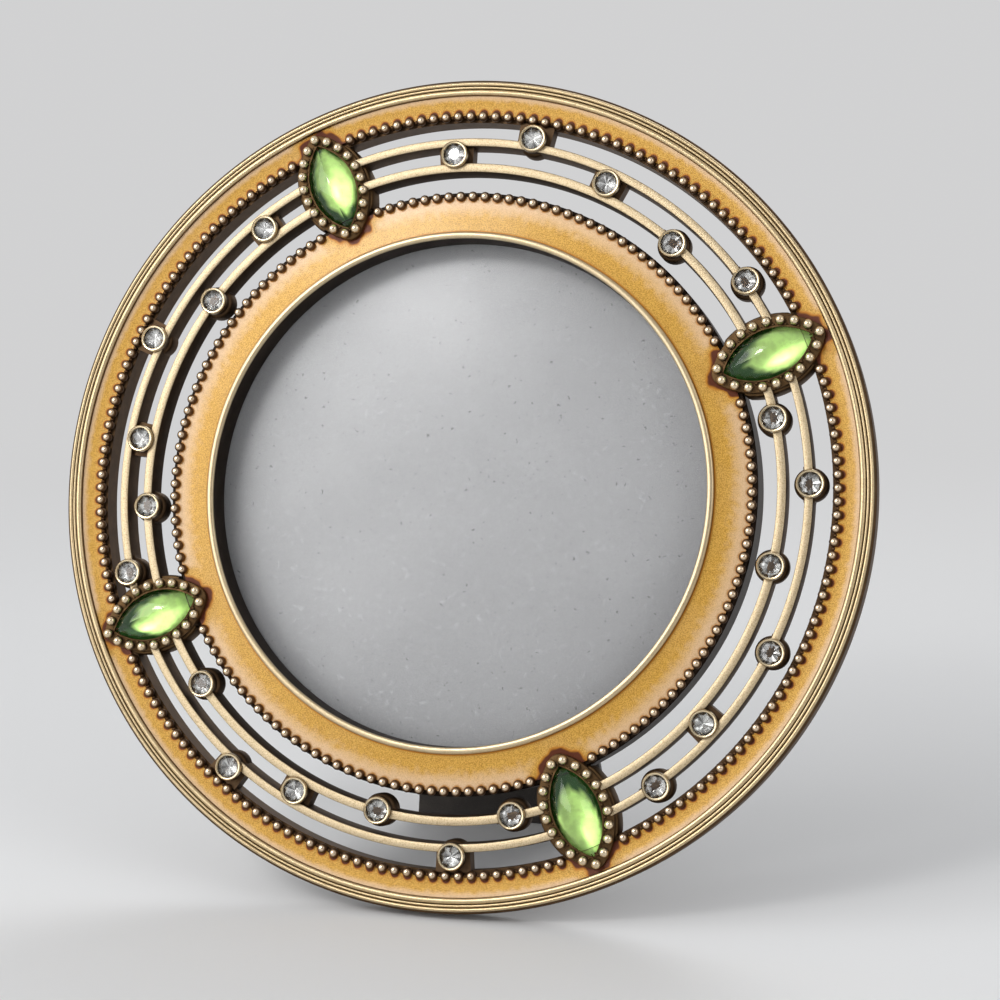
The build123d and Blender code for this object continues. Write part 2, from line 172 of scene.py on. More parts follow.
@dataclass(frozen=True)
class Layout:
    """Radii, widths and heights that the pieces share, in millimetres on the flat frame."""

    rim: float = 77.0
    channel: float = 74.0
    rim_inner: float = 69.2
    outer_bar: float = 65.1
    outer_bar_width: float = 1.5
    inner_bar: float = 60.3
    inner_bar_width: float = 1.6
    inner_ring: float = 55.95
    rebate: float = 51.3
    bezel: float = 48.25
    window: float = 47.0
    floor: float = -1.9
    rim_back: float = -6.5
    ledge: float = -6.0
    glass_back: float = -7.2
    card_back: float = -7.6
    board_back: float = -10.2
    ring_back: float = -10.4
    bead: float = 1.9
    cup_radius: float = 2.6
    collar: float = 2.3
    setting_angles: tuple[float, ...] = (24.9, 115.3, 204.2, 294.9)
    quarters: tuple[str, ...] = ("top", "left", "bottom", "right")
    corners: tuple[str, ...] = ("upper_right", "upper_left", "lower_left", "lower_right")

    @property
    def setting_radius(self) -> float:
        """Gives the radius of the circle on which the stones are centred."""
        return (self.rim_inner + self.inner_ring) / 2

    def quarter(self, index: int) -> Point:
        """Finds the two settings that bound a quarter of the openwork.

        Args:
            index: The number of the quarter, from the top against the clock.

        Returns:
            The angles of the two settings in degrees.
        """
        start = self.setting_angles[index]
        end = self.setting_angles[(index + 1) % len(self.setting_angles)]
        return start, end if end > start else end + 360


@dataclass(frozen=True)
class Navette:
    """The outline of a stone: two equal arcs that meet in points.

    Attributes:
        length: The stone's length in millimetres.
        width: The stone's width in millimetres.
        fine_steps: The steps of an outline that is measured along.
    """

    length: float = 17.15
    width: float = 8.6
    fine_steps: tuple[int, int] = (60, 16)

    @property
    def arc(self) -> float:
        """Gives the radius of the two arcs."""
        return ((self.length / 2) ** 2 + (self.width / 2) ** 2) / self.width

    @property
    def half_turn(self) -> float:
        """Gives half the angle that each arc spans, in radians."""
        return math.asin(self.length / 2 / self.arc)

    def distance(self, x: float, y: float) -> float:
        """Measures how far a point lies outside the outline.

        Args:
            x: The point's place along the stone.
            y: The point's place across the stone.

        Returns:
            The distance in millimetres, negative inside the outline.
        """
        x, y = abs(x), abs(y)
        centre = self.arc - self.width / 2
        if math.atan2(x, y + centre) > self.half_turn:
            return math.hypot(x - self.length / 2, y)
        return math.hypot(x, y + centre) - self.arc

    def half_width(self, along: float, margin: float) -> float:
        """Measures half the width of the outline grown by a margin.

        Args:
            along: The distance from the stone's middle along its length.
            margin: How far the outline is grown.

        Returns:
            Half the width in millimetres.
        """
        arc = self.arc + margin
        along = min(abs(along), arc * math.sin(self.half_turn))
        return math.sqrt(arc**2 - along**2) - self.arc + self.width / 2

    def outline(self, margin: float, arc_steps: int = 24, tip_steps: int = 6) -> list[Point]:
        """Lists the outline grown by a margin.

        Args:
            margin: How far the outline is grown.
            arc_steps: The steps along each long side.
            tip_steps: The steps round half of each tip.

        Returns:
            The points against the clock from the outer tip.
        """
        centre = self.arc - self.width / 2
        tip_turn = math.pi / 2 - self.half_turn
        half = self.length / 2
        side = []
        for step in range(tip_steps):
            turn = tip_turn * step / tip_steps
            side.append((half + margin * math.cos(turn), margin * math.sin(turn)))
        for step in range(arc_steps + 1):
            turn = self.half_turn * (1 - 2 * step / arc_steps)
            reach = self.arc + margin
            side.append((reach * math.sin(turn), reach * math.cos(turn) - centre))
        for step in range(tip_steps, 0, -1):
            turn = tip_turn * (step - 1) / tip_steps
            side.append((-half - margin * math.cos(turn), margin * math.sin(turn)))
        return side + [(x, -y) for x, y in side[-2:0:-1]]

    def spaced(self, margin: float, count: int) -> list[Point]:
        """Lists evenly spaced places round the outline, the first at the outer tip.

        Args:
            margin: How far the outline is grown.
            count: How many places there are.

        Returns:
            The places along and across the stone.
        """
        path = [Vector(point) for point in self.outline(margin, *self.fine_steps)]
        path.append(path[0])
        lengths = [(after - before).length for before, after in zip(path, path[1:])]
        total = sum(lengths)
        places = []
        for index in range(count):
            left = total * index / count
            for length, before, after in zip(lengths, path, path[1:]):
                if left <= length:
                    places.append(tuple(before.lerp(after, left / length)))
                    break
                left -= length
        return places


# The bench: the hand tools that shape every piece


class Bench:
    """Hand tools for meshes on the flat frame, in millimetres.

    Attributes:
        join_distance: How near two points are joined.
        axis: How near to the axis a turned section starts.
        seat_share: How far below its middle a ball is cut flat, as a share of its radius.
    """

    join_distance: float = 0.0005
    axis: float = 0.02
    seat_share: float = 0.6
    disc_steps: int = 192
    round_steps: int = 3

    @staticmethod
    def clear() -> None:
        """Leaves edit mode and deselects everything."""
        if bpy.context.object is not None and bpy.context.object.mode != "OBJECT":
            bpy.ops.object.mode_set(mode="OBJECT")
        bpy.ops.object.select_all(action="DESELECT")

    @classmethod
    def hold(cls, piece: Piece) -> None:
        """Selects one piece alone and makes it active.

        Args:
            piece: The piece to hold.
        """
        cls.clear()
        piece.select_set(True)
        bpy.context.view_layer.objects.active = piece

    @classmethod
    def open(cls, piece: Piece) -> None:
        """Starts to edit a piece with all of it selected.

        Args:
            piece: The piece to edit.
        """
        cls.hold(piece)
        bpy.ops.object.mode_set(mode="EDIT")
        bpy.ops.mesh.select_all(action="SELECT")

    @classmethod
    def close(cls, piece: Piece) -> Piece:
        """Joins doubled points, turns the faces outwards and ends the edit.

        Args:
            piece: The piece that is edited.

        Returns:
            The same piece.
        """
        bpy.ops.mesh.select_all(action="SELECT")
        bpy.ops.mesh.remove_doubles(threshold=cls.join_distance)
        bpy.ops.mesh.normals_make_consistent(inside=False)
        bpy.ops.object.mode_set(mode="OBJECT")
        return piece

    @classmethod
    def outline(cls, points: Sequence[Vector], filled: bool) -> Piece:
        """Draws a closed outline from a circle with as many points.

        Args:
            points: The outline's corners in order.
            filled: Whether the outline gets a face.

        Returns:
            The outline as a piece.
        """
        cls.clear()
        fill = "NGON" if filled else "NOTHING"
        bpy.ops.mesh.primitive_circle_add(vertices=len(points), radius=1, fill_type=fill)
        piece = bpy.context.object
        for vertex, point in zip(piece.data.vertices, points):
            vertex.co = point
        return piece

    @classmethod
    def turned(
        cls, section: Sequence[Point], steps: int, sweep: float = 360.0, start: float = 0.0
    ) -> Piece:
        """Turns a closed section round the Z axis, against the clock.

        Args:
            section: The section's corners as radius and height.
            steps: The steps of the turn.
            sweep: How far it turns, in degrees.
            start: The angle at which the turn starts, in degrees.

        Returns:
            The turned piece.
        """
        turn = Matrix.Rotation(math.radians(start), 4, "Z")
        piece = cls.outline([turn @ Vector((r, 0, z)) for r, z in section], filled=False)
        cls.open(piece)
        bpy.ops.mesh.spin(
            steps=steps, angle=-math.radians(sweep), center=(0, 0, 0), axis=(0, 0, 1)
        )
        if sweep < 360:
            bpy.ops.mesh.select_all(action="SELECT")
            bpy.ops.mesh.fill_holes(sides=0)
        return cls.close(piece)

    @classmethod
    def raised(cls, outline: Sequence[Point], levels: Sequence[Point]) -> Piece:
        """Raises a filled outline through levels, each drawn in by its share.

        Args:
            outline: The outline's corners.
            levels: Height and share of the full outline, from the lowest level up.

        Returns:
            The raised piece.
        """
        first_height, first_share = levels[0]
        piece = cls.outline(
            [Vector((x * first_share, y * first_share, first_height)) for x, y in outline], True
        )
        cls.open(piece)
        for (low, share), (high, next_share) in zip(levels, levels[1:]):
            bpy.ops.mesh.extrude_region_move(TRANSFORM_OT_translate={"value": (0, 0, high - low)})
            scale = next_share / share
            bpy.ops.transform.resize(value=(scale, scale, 1), center_override=(0, 0, high))
        return cls.close(piece)

    @classmethod
    def lofted(cls, loops: Sequence[Sequence[Vector]], capped: bool = True) -> Piece:
        """Draws a skin through closed loops of as many points each.

        Args:
            loops: The loops from one end to the other, with matching points.
            capped: Whether both ends are filled, or the last loop meets the first.

        Returns:
            The closed piece.
        """
        count = len(loops[0])
        cls.clear()
        bpy.ops.mesh.primitive_circle_add(vertices=count, radius=1, fill_type="NOTHING")
        piece = bpy.context.object
        start = piece.data.vertices[0].co.copy()
        cls.open(piece)
        for _ in loops[1:]:
            bpy.ops.mesh.extrude_edges_move(TRANSFORM_OT_translate={"value": (0, 0, 1)})
        cls.clear()
        first = math.atan2(start.y, start.x)
        for vertex in piece.data.vertices:
            turn = math.atan2(vertex.co.y, vertex.co.x) - first
            place = round(turn / (2 * math.pi) * count) % count
            vertex.co = loops[round(vertex.co.z)][place]
        cls.open(piece)
        if capped:
            bpy.ops.mesh.fill_holes(sides=0)
        return cls.close(piece)

    @classmethod
    def disc(cls, radius: float, low: float, high: float, rounding: float) -> Piece:
        """Makes a disc with softened edges.

        Args:
            radius: The disc's radius.
            low: The height of its back.
            high: The height of its front.
            rounding: How far its edges are softened.

        Returns:
            The disc.
        """
        cls.clear()
        bpy.ops.mesh.primitive_cylinder_add(
            vertices=cls.disc_steps,
            radius=radius,
            depth=high - low,
            location=(0, 0, (low + high) / 2),
        )
        disc = bpy.context.object
        bpy.ops.object.transform_apply(location=True, rotation=True, scale=True)
        return cls.smooth(cls.bevelled(disc, rounding, cls.round_steps), Shading.FLAT)

    @classmethod
    def bevelled(cls, piece: Piece, width: float, segments: int = 2, angle: float = 40.0) -> Piece:
        """Rounds the sharp edges of a piece.

        Args:
            piece: The piece to round.
            width: The width of the rounding in millimetres.
            segments: The steps of the rounding.
            angle: The least angle of an edge that is rounded, in degrees.

        Returns:
            The same piece.
        """
        cls.hold(piece)
        bpy.ops.object.modifier_add(type="BEVEL")
        bevel = piece.modifiers[-1]
        bevel.width = width
        bevel.segments = segments
        bevel.limit_method = "ANGLE"
        bevel.angle_limit = math.radians(angle)
        bpy.ops.object.modifier_apply(modifier=bevel.name)
        return piece

    @classmethod
    def carved(cls, piece: Piece, tool: Piece) -> Piece:
        """Cuts one piece out of another.

        Args:
            piece: The piece that is cut.
            tool: The piece that is taken out of it, which is used up.

        Returns:
            The cut piece.
        """
        cls.hold(piece)
        bpy.ops.object.modifier_add(type="BOOLEAN")
        cut = piece.modifiers[-1]
        cut.operation = "DIFFERENCE"
        cut.object = tool
        bpy.ops.object.modifier_apply(modifier=cut.name)
        bpy.data.objects.remove(tool)
        return piece

    @classmethod
    def smooth(cls, piece: Piece, shading: Shading) -> Piece:
        """Shades a piece smooth across its softer edges.

        Args:
            piece: The piece to shade.
            shading: How sharp an edge has to be to stay one.

        Returns:
            The same piece.
        """
        cls.hold(piece)
        bpy.ops.object.shade_smooth_by_angle(angle=math.radians(shading.value))
        return piece

    @classmethod
    def ball(cls, radius: float, segments: int, rings: int) -> Piece:
        """Makes a small ball that is flattened where it sits.

        Args:
            radius: The ball's radius.
            segments: Its steps round.
            rings: Its steps from top to bottom.

        Returns:
            The ball, with its middle at the origin.
        """
        cls.clear()
        bpy.ops.mesh.primitive_uv_sphere_add(segments=segments, ring_count=rings, radius=radius)
        ball = bpy.context.object
        cls.open(ball)
        seat = (0, 0, -cls.seat_share * radius)
        bpy.ops.mesh.bisect(plane_co=seat, plane_no=(0, 0, 1), clear_inner=True, use_fill=True)
        return cls.smooth(cls.close(ball), Shading.ROUND)

    @classmethod
    def repeated(cls, pattern: Piece, places: Iterable[Matrix]) -> Piece:
        """Copies a pattern to every place and joins the copies.

        Args:
            pattern: The piece that is repeated, which is used up.
            places: Where the copies go.

        Returns:
            The copies as one piece.
        """
        copies = []
        for place in places:
            copy = pattern.copy()
            copy.data = pattern.data.copy()
            copy.data.transform(place)
            bpy.context.scene.collection.objects.link(copy)
            copies.append(copy)
        bpy.data.objects.remove(pattern)
        return cls.joined(copies)

    @classmethod
    def joined(cls, pieces: Sequence[Piece]) -> Piece:
        """Joins several pieces into the first.

        Args:
            pieces: The pieces to join.

        Returns:
            The joined piece.
        """
        cls.clear()
        for piece in pieces:
            piece.select_set(True)
        bpy.context.view_layer.objects.active = pieces[0]
        if len(pieces) > 1:
            bpy.ops.object.join()
        return pieces[0]


def around(angle: float, radius: float = 0.0, height: float = 0.0) -> Matrix:
    """Gives a place on the flat frame that is turned to face outwards.

    Args:
        angle: The place's angle in degrees.
        radius: Its radius.
        height: Its height.

    Returns:
        The place.
    """
    return Matrix.Rotation(math.radians(angle), 4, "Z") @ Matrix.Translation((radius, 0, height))


def falling(value: float, full: float, none: float) -> float:
    """Falls smoothly from one to zero as a value goes from full to none.

    Args:
        value: The value.
        full: Where the fall starts.
        none: Where it ends.

    Returns:
        The height of the fall at the value.
    """
    share = min(1.0, max(0.0, (none - value) / (none - full)))
    return share * share * (3 - 2 * share)


def waves(spot: Vector, scale: float, seed: float, strength: float) -> float:
    """Gives the height of soft waves at a place on the face.

    Args:
        spot: The place.
        scale: How fine the waves are.
        seed: What sets them apart from other waves.
        strength: How high they are.

    Returns:
        The height.
    """
    return strength * noise.noise(Vector((spot.x * scale, spot.y * scale, seed)))


def reed(start: float, width: float, valley: float, crest: float, steps: int = 8) -> list[Point]:
    """Lists the points of a rounded reed.

    Args:
        start: The radius at which the reed starts.
        width: The reed's width.
        valley: The height beside the reed.
        crest: The height of its middle.
        steps: The steps across the reed.

    Returns:
        The points as radius and height.
    """
    points = []
    for step in range(steps + 1):
        turn = math.pi * step / steps
        radius = start + width * (1 - math.cos(turn)) / 2
        points.append((radius, valley + (crest - valley) * math.sin(turn)))
    return points


# Finishes


class NodeSheet:
    """A sheet of nodes, with short words for what the finishes and the studio need."""

    def __init__(self, tree: bpy.types.NodeTree) -> None:
        """Opens the node tree of a material or a world."""
        self.nodes = tree.nodes
        self.links = tree.links

    def add(self, kind: str, **values: object) -> bpy.types.Node:
        """Adds a node.

        Args:
            kind: The node's type.
            values: Properties of the node and their values.

        Returns:
            The node.
        """
        node = self.nodes.new(kind)
        for name, value in values.items():
            setattr(node, name, value)
        return node

    def link(self, source: Socket, target: Socket) -> None:
        """Links an output to an input."""
        self.links.new(source, target)

    def ranged(
        self, source: Socket, low: float, high: float, to_low: float = 0.0, to_high: float = 1.0
    ) -> Socket:
        """Maps a value smoothly from one range to another and clamps it.

        Args:
            source: The value.
            low: The start of its range.
            high: The end of its range.
            to_low: The result at the start.
            to_high: The result at the end.

        Returns:
            The mapped value.
        """
        node = self.add("ShaderNodeMapRange", interpolation_type="SMOOTHSTEP")
        names = ("From Min", "From Max", "To Min", "To Max")
        for name, value in zip(names, (low, high, to_low, to_high)):
            node.inputs[name].default_value = value
        self.link(source, node.inputs["Value"])
        return node.outputs["Result"]

    def calculated(self, operation: str, *sources: Socket) -> Socket:
        """Joins values by an operation and clamps the result.

        Args:
            operation: The operation's name.
            sources: One or two values.

        Returns:
            The result.
        """
        node = self.add("ShaderNodeMath", operation=operation, use_clamp=True)
        for source, socket in zip(sources, node.inputs):
            self.link(source, socket)
        return node.outputs[0]

    def mixed(self, factor: Socket, first: Socket | Colour, second: Socket | Colour) -> Socket:
        """Mixes two colours.

        Args:
            factor: The share of the second colour.
            first: The first colour or a link to it.
            second: The second colour or a link to it.

        Returns:
            The mixed colour.
        """
        node = self.add("ShaderNodeMix", data_type="RGBA")
        self.link(factor, node.inputs["Factor"])
        for value, socket in ((first, node.inputs[6]), (second, node.inputs[7])):
            if isinstance(value, tuple):
                socket.default_value = (*value, 1)
            else:
                self.link(value, socket)
        return node.outputs[2]

    def along(self, source: Socket, direction: Sequence[float]) -> Socket:
        """Measures a vector along a direction.

        Args:
            source: The vector.
            direction: The direction.

        Returns:
            The measure.
        """
        node = self.add("ShaderNodeVectorMath", operation="DOT_PRODUCT")
        self.link(source, node.inputs[0])
        node.inputs[1].default_value = direction
        return node.outputs["Value"]

    def blended(self, share: Socket, first: Socket, second: Socket, output: str) -> None:
        """Mixes two shaders and links them to the output.

        Args:
            share: The share of the second shader.
            first: The first shader.
            second: The second shader.
            output: The name of the output node.
        """
        mix = self.add("ShaderNodeMixShader")
        for source, socket in zip((share, first, second), mix.inputs):
            self.link(source, socket)
        self.link(mix.outputs[0], self.nodes[output].inputs["Surface"])

    def seen(self) -> Socket:
        """Tells the rays that show the surround from those that light the object.

        Returns:
            One for camera, glossy and transmission rays, and zero for the others.
        """
        path = self.add("ShaderNodeLightPath")
        total = path.outputs["Is Camera Ray"]
        for name in ("Is Glossy Ray", "Is Transmission Ray"):
            total = self.calculated("MAXIMUM", total, path.outputs[name])
        return total


class MaterialSheet(NodeSheet):
    """The sheet of a new material, with a plain surface node."""

    def __init__(self, name: str) -> None:
        """Starts the material.

        Args:
            name: The material's name.
        """
        self.material = bpy.data.materials.new(name)
        self.material.use_nodes = True
        super().__init__(self.material.node_tree)
        self.surface = self.nodes["Principled BSDF"]
        self.place = self.add("ShaderNodeTexCoord").outputs["Object"]

    def fix(self, **values: object) -> None:
        """Sets constants on the surface's own sockets.

        Args:
            values: The sockets' names, with underscores for spaces, and their values.
        """
        for name, value in values.items():
            self.surface.inputs[name.replace("_", " ")].default_value = value

    def feed(self, **sources: Socket) -> None:
        """Links values to the surface's own sockets.

        Args:
            sources: The sockets' names, with underscores for spaces, and their values.
        """
        for name, source in sources.items():
            self.link(source, self.surface.inputs[name.replace("_", " ")])

    def noise(self, scale: float, detail: float = 3.0) -> Socket:
        """Adds noise on object coordinates.

        Args:
            scale: The noise's scale, per metre.
            detail: Its detail.

        Returns:
            The noise, from zero to one.
        """
        node = self.add("ShaderNodeTexNoise")
        node.inputs["Scale"].default_value = scale
        node.inputs["Detail"].default_value = detail
        self.link(self.place, node.inputs["Vector"])
        return node.outputs["Fac"]

    def bumped(self, height: Socket, strength: float, distance: float) -> None:
        """Gives the surface a bump.

        Args:
            height: The bump's height field.
            strength: Its strength.
            distance: Its depth in metres.
        """
        node = self.add("ShaderNodeBump")
        node.inputs["Strength"].default_value = strength
        node.inputs["Distance"].default_value = distance
        self.link(height, node.inputs["Height"])
        self.feed(Normal=node.outputs["Normal"])

    def depth(self, stance: Stance) -> Socket:
        """Measures the height above the frame's face.

        Args:
            stance: How the frame leans.

        Returns:
            The height in metres, negative behind the face.
        """
        moved = self.add("ShaderNodeVectorMath", operation="SUBTRACT")
        self.link(self.place, moved.inputs[0])
        moved.inputs[1].default_value = stance.centre
        return self.along(moved.outputs[0], stance.normal)

    def attribute(self, name: str) -> Socket:
        """Reads a value that the piece carries on its points or faces."""
        return self.add("ShaderNodeAttribute", attribute_name=name).outputs["Fac"]


@dataclass(frozen=True)
class GiltFinish:
    """Gold plate, rubbed bright on top with painted light, and darkened in its depths and hollows
    by age and painted shade.

    Attributes:
        name: The material's name.
        stance: How the frame leans.
        bright: The colour of the rubbed metal.
        worn: The colour of its duller patches.
        patina_and_shade: The colour of the depths, darkened by age and by painted shade.
        bright_height: The height above which it is bright, rubbed and painted as lit, in
            millimetres.
        dark_height: The height below which it is dark with age and painted shade, in millimetres.
        grain: How strong its sandy grain is.
        speck: How the sand wears a patch, as a range of noise and what it becomes.
        hollow: How narrow a hollow has to be to stay dark with painted shade, in metres.
    """

    name: str
    stance: Stance
    bright: Colour = (0.74, 0.62, 0.40)
    worn: Colour = (0.46, 0.34, 0.18)
    patina_and_shade: Colour = (0.075, 0.048, 0.03)
    bright_height: float = -0.35
    dark_height: float = -1.3
    roughness: float = 0.34
    dull_roughness: float = 0.55
    grain: float = 0.4
    grain_scale: float = 4600.0
    grain_depth: float = 0.00005
    grain_span: Point = (0.36, 0.53)
    speck: Ramp = (0.32, 0.6, 0.8, 0.15)
    blotch_scale: float = 420.0
    blotch_span: Point = (0.38, 0.68)
    blotch_share: float = 0.7
    patina_and_shade_lift: float = 1.45
    hollow: float = 0.0008
    hollow_samples: int = 8
    open_span: Point = (0.3, 0.8)

    def material(self) -> Material:
        """Makes the material.

        Returns:
            The finished material.
        """
        sheet = MaterialSheet(self.name)
        # Painted light and shade: bright above the face, dark on sides and in depths, partly age
        # and rubbing.
        low, high = self.dark_height * MILLIMETRE, self.bright_height * MILLIMETRE
        height = sheet.ranged(sheet.depth(self.stance), low, high)
        # Ambient occlusion paints shade into narrow hollows.
        shade = sheet.add("ShaderNodeAmbientOcclusion", samples=self.hollow_samples)
        shade.inputs["Distance"].default_value = self.hollow
        open_part = sheet.ranged(shade.outputs["AO"], *self.open_span)
        # The share of the top colour: rubbed metal with painted light, kept out of the painted
        # shade of hollows.
        rubbed = sheet.calculated("MULTIPLY", height, open_part)
        patches = sheet.noise(self.blotch_scale, 5)
        blotch = sheet.ranged(patches, *self.blotch_span, 0.0, self.blotch_share)
        sand = sheet.noise(self.grain_scale, 2)
        dulled = sheet.calculated("MULTIPLY", blotch, sheet.ranged(sand, *self.speck))
        grains = sheet.ranged(sand, *self.grain_span, self.grain, 0.0)
        top = sheet.mixed(sheet.calculated("MAXIMUM", dulled, grains), self.bright, self.worn)
        # The dark colour of the depths, age and painted shade, in two tones.
        lifted = tuple(value * self.patina_and_shade_lift for value in self.patina_and_shade)
        aged_and_shaded = sheet.mixed(blotch, self.patina_and_shade, lifted)
        rough = sheet.ranged(rubbed, 0.0, 1.0, self.dull_roughness, self.roughness)
        sheet.feed(Base_Color=sheet.mixed(rubbed, aged_and_shaded, top), Roughness=rough)
        sheet.fix(Metallic=1.0)
        sheet.bumped(sand, self.grain, self.grain_depth)
        return sheet.material


@dataclass(frozen=True)
class EnamelFinish:
    """Honey enamel over a grained metal ground, with darker pools and painted shade at its edges,
    and painted sheen where it is milky.

    Attributes:
        name: The material's name.
        honey: The main colour.
        amber: The deeper colour of its grain.
        rust: The colour at the margin of a pool and of the painted shade.
        pool: The colour where it lies thick against beads and settings, and of the painted shade
            beside the bezel and between the inner beads.
        pale: The colour where it is thin and milky, and of its painted sheen.
        cloud: Where it is milky by itself, as a range of noise and what it becomes.
        thinning: How its grain shows in the milk, in the same way.
        coat: How its gloss goes with the darkness of a pool, in the same way.
        polish: How its roughness goes with its grain, in the same way.
    """

    name: str = "honey_enamel"
    honey: Colour = (0.68, 0.385, 0.062)
    amber: Colour = (0.42, 0.205, 0.017)
    rust: Colour = (0.50, 0.19, 0.012)
    pool: Colour = (0.105, 0.021, 0.004)
    pale: Colour = (0.74, 0.52, 0.33)
    grain_scale: float = 5600.0
    grain_span: Point = (0.36, 0.6)
    cloud_scale: float = 70.0
    cloud: Ramp = (0.5, 0.75, 0.0, 0.1)
    thinning: Ramp = (0.3, 0.6, 0.72, 1.0)
    rust_span: Point = (0.0, 0.5)
    pool_span: Point = (0.42, 0.9)
    coat: Ramp = (0.1, 0.6, 0.5, 0.06)
    polish: Ramp = (0.3, 0.7, 0.55, 0.38)

    def material(self) -> Material:
        """Makes the material.

        Returns:
            The finished material.
        """
        sheet = MaterialSheet(self.name)
        fine = sheet.noise(self.grain_scale)
        base = sheet.mixed(sheet.ranged(fine, *self.grain_span), self.amber, self.honey)
        cloud = sheet.ranged(sheet.noise(self.cloud_scale), *self.cloud)
        # Milky thin enamel and painted sheen.
        milky = sheet.calculated("ADD", sheet.attribute("milk_and_sheen"), cloud)
        thin = sheet.calculated("MULTIPLY", milky, sheet.ranged(fine, *self.thinning))
        base = sheet.mixed(thin, base, self.pale)
        # Thick enamel in pools, and painted shade beside the ridge and between the inner beads.
        pool = sheet.attribute("pool")
        base = sheet.mixed(sheet.ranged(pool, *self.rust_span), base, self.rust)
        base = sheet.mixed(sheet.ranged(pool, *self.pool_span), base, self.pool)
        sheet.fix(Metallic=0.2, Coat_Roughness=0.22, Coat_IOR=1.45, Specular_IOR_Level=0.3)
        sheet.feed(
            Base_Color=base,
            Coat_Weight=sheet.ranged(pool, *self.coat),
            Roughness=sheet.ranged(fine, *self.polish),
        )
        sheet.bumped(fine, strength=0.12, distance=0.00003)
        return sheet.material


@dataclass(frozen=True)
class GlassFinish:
    """Clear or tinted glass of a stone or a crystal, with faint streaks.

    Attributes:
        name: The material's name.
        tint: The colour of the light that passes it.
        bend: Its refractive index.
        streak_lift: How much paler its streaks are.
    """

    name: str
    tint: Colour
    bend: float
    streak_lift: float = 1.1
    streak_scale: float = 260.0
    streak_span: Point = (0.3, 0.7)

    def material(self) -> Material:
        """Makes the material.

        Returns:
            The finished material.
        """
        sheet = MaterialSheet(self.name)
        streak = sheet.ranged(sheet.noise(self.streak_scale, 2), *self.streak_span)
        pale = tuple(min(1.0, value * self.streak_lift) for value in self.tint)
        sheet.feed(Base_Color=sheet.mixed(streak, self.tint, pale))
        sheet.fix(Transmission_Weight=1.0, IOR=self.bend, Roughness=0.01)
        return sheet.material


@dataclass(frozen=True)
class FoilFinish:
    """Foil behind a stone or a crystal, whose colour holds painted reflections and painted shade.

    Attributes:
        name: The material's name.
        colour: The foil's colour where its painted reflection is full.
        shade: The painted shade where it has none.
        painted_shine: The name of the value on the piece that says how full its painted reflection
            is.
        metal: How much it shines like metal.
        dullness: How far patches dull it, as a range of noise and what it becomes.
    """

    name: str
    colour: Colour
    shade: Colour
    painted_shine: str
    roughness: float
    metal: float
    dull_scale: float = 900.0
    dullness: Ramp = (0.35, 0.7, 1.0, 0.82)

    def material(self) -> Material:
        """Makes the material.

        Returns:
            The finished material.
        """
        sheet = MaterialSheet(self.name)
        dull = sheet.ranged(sheet.noise(self.dull_scale), *self.dullness)
        # The value paints reflections and shade into the foil's colour.
        painted_shine = sheet.calculated("MULTIPLY", sheet.attribute(self.painted_shine), dull)
        sheet.feed(Base_Color=sheet.mixed(painted_shine, self.shade, self.colour))
        sheet.fix(Metallic=self.metal, Roughness=self.roughness)
        return sheet.material


@dataclass(frozen=True)
class PaneFinish:
    """Thin clear window glass over the card, clouded by a trace of dust.

    Attributes:
        name: The material's name.
        tint: Its colour.
        dust: How much the dust hides, as a range of noise and what it becomes.
    """

    name: str = "window_glass"
    tint: Colour = (0.93, 0.95, 0.95)
    dust_scale: float = 900.0
    dust: Ramp = (0.56, 0.78, 0.05, 0.16)

    def material(self) -> Material:
        """Makes the material.

        Returns:
            The finished material.
        """
        sheet = MaterialSheet(self.name)
        sheet.feed(Alpha=sheet.ranged(sheet.noise(self.dust_scale, 5), *self.dust))
        sheet.fix(Base_Color=(*self.tint, 1), Roughness=0.2, Specular_IOR_Level=0.6)
        return sheet.material


@dataclass(frozen=True)
class CardFinish:
    """Plain mid-grey card with fine specks and a soft gloss.

    Attributes:
        name: The material's name.
        grey: The main colour.
        light: The colour of its paler clouds.
        fleck: The colour of its specks.
        specks: Where the specks lie, as a range of noise and what it becomes.
        cloud: Where the broad clouds lie, in the same way.
        mottle: Where the fine clouds lie, in the same way.
    """

    name: str = "grey_card"
    grey: Colour = (0.30, 0.298, 0.303)
    light: Colour = (0.395, 0.392, 0.398)
    fleck: Colour = (0.13, 0.13, 0.13)
    fleck_scale: float = 1250.0
    specks: Ramp = (0.685, 0.73, 0.0, 0.9)
    cloud_scale: float = 34.0
    cloud: Ramp = (0.35, 0.7, 0.0, 0.5)
    mottle_scale: float = 3600.0
    mottle: Ramp = (0.35, 0.65, 0.0, 0.35)
    tooth_scale: float = 2600.0

    def material(self) -> Material:
        """Makes the material.

        Returns:
            The finished material.
        """
        sheet = MaterialSheet(self.name)
        speck = sheet.ranged(sheet.noise(self.fleck_scale, 2), *self.specks)
        cloud = sheet.ranged(sheet.noise(self.cloud_scale, 4), *self.cloud)
        mottle = sheet.ranged(sheet.noise(self.mottle_scale, 2), *self.mottle)
        base = sheet.mixed(sheet.calculated("ADD", cloud, mottle), self.grey, self.light)
        sheet.feed(Base_Color=sheet.mixed(speck, base, self.fleck))
        sheet.fix(Roughness=0.5, Coat_Weight=1.0, Coat_Roughness=0.31)
        sheet.bumped(sheet.noise(self.tooth_scale, 2), strength=0.07, distance=0.00003)
        return sheet.material


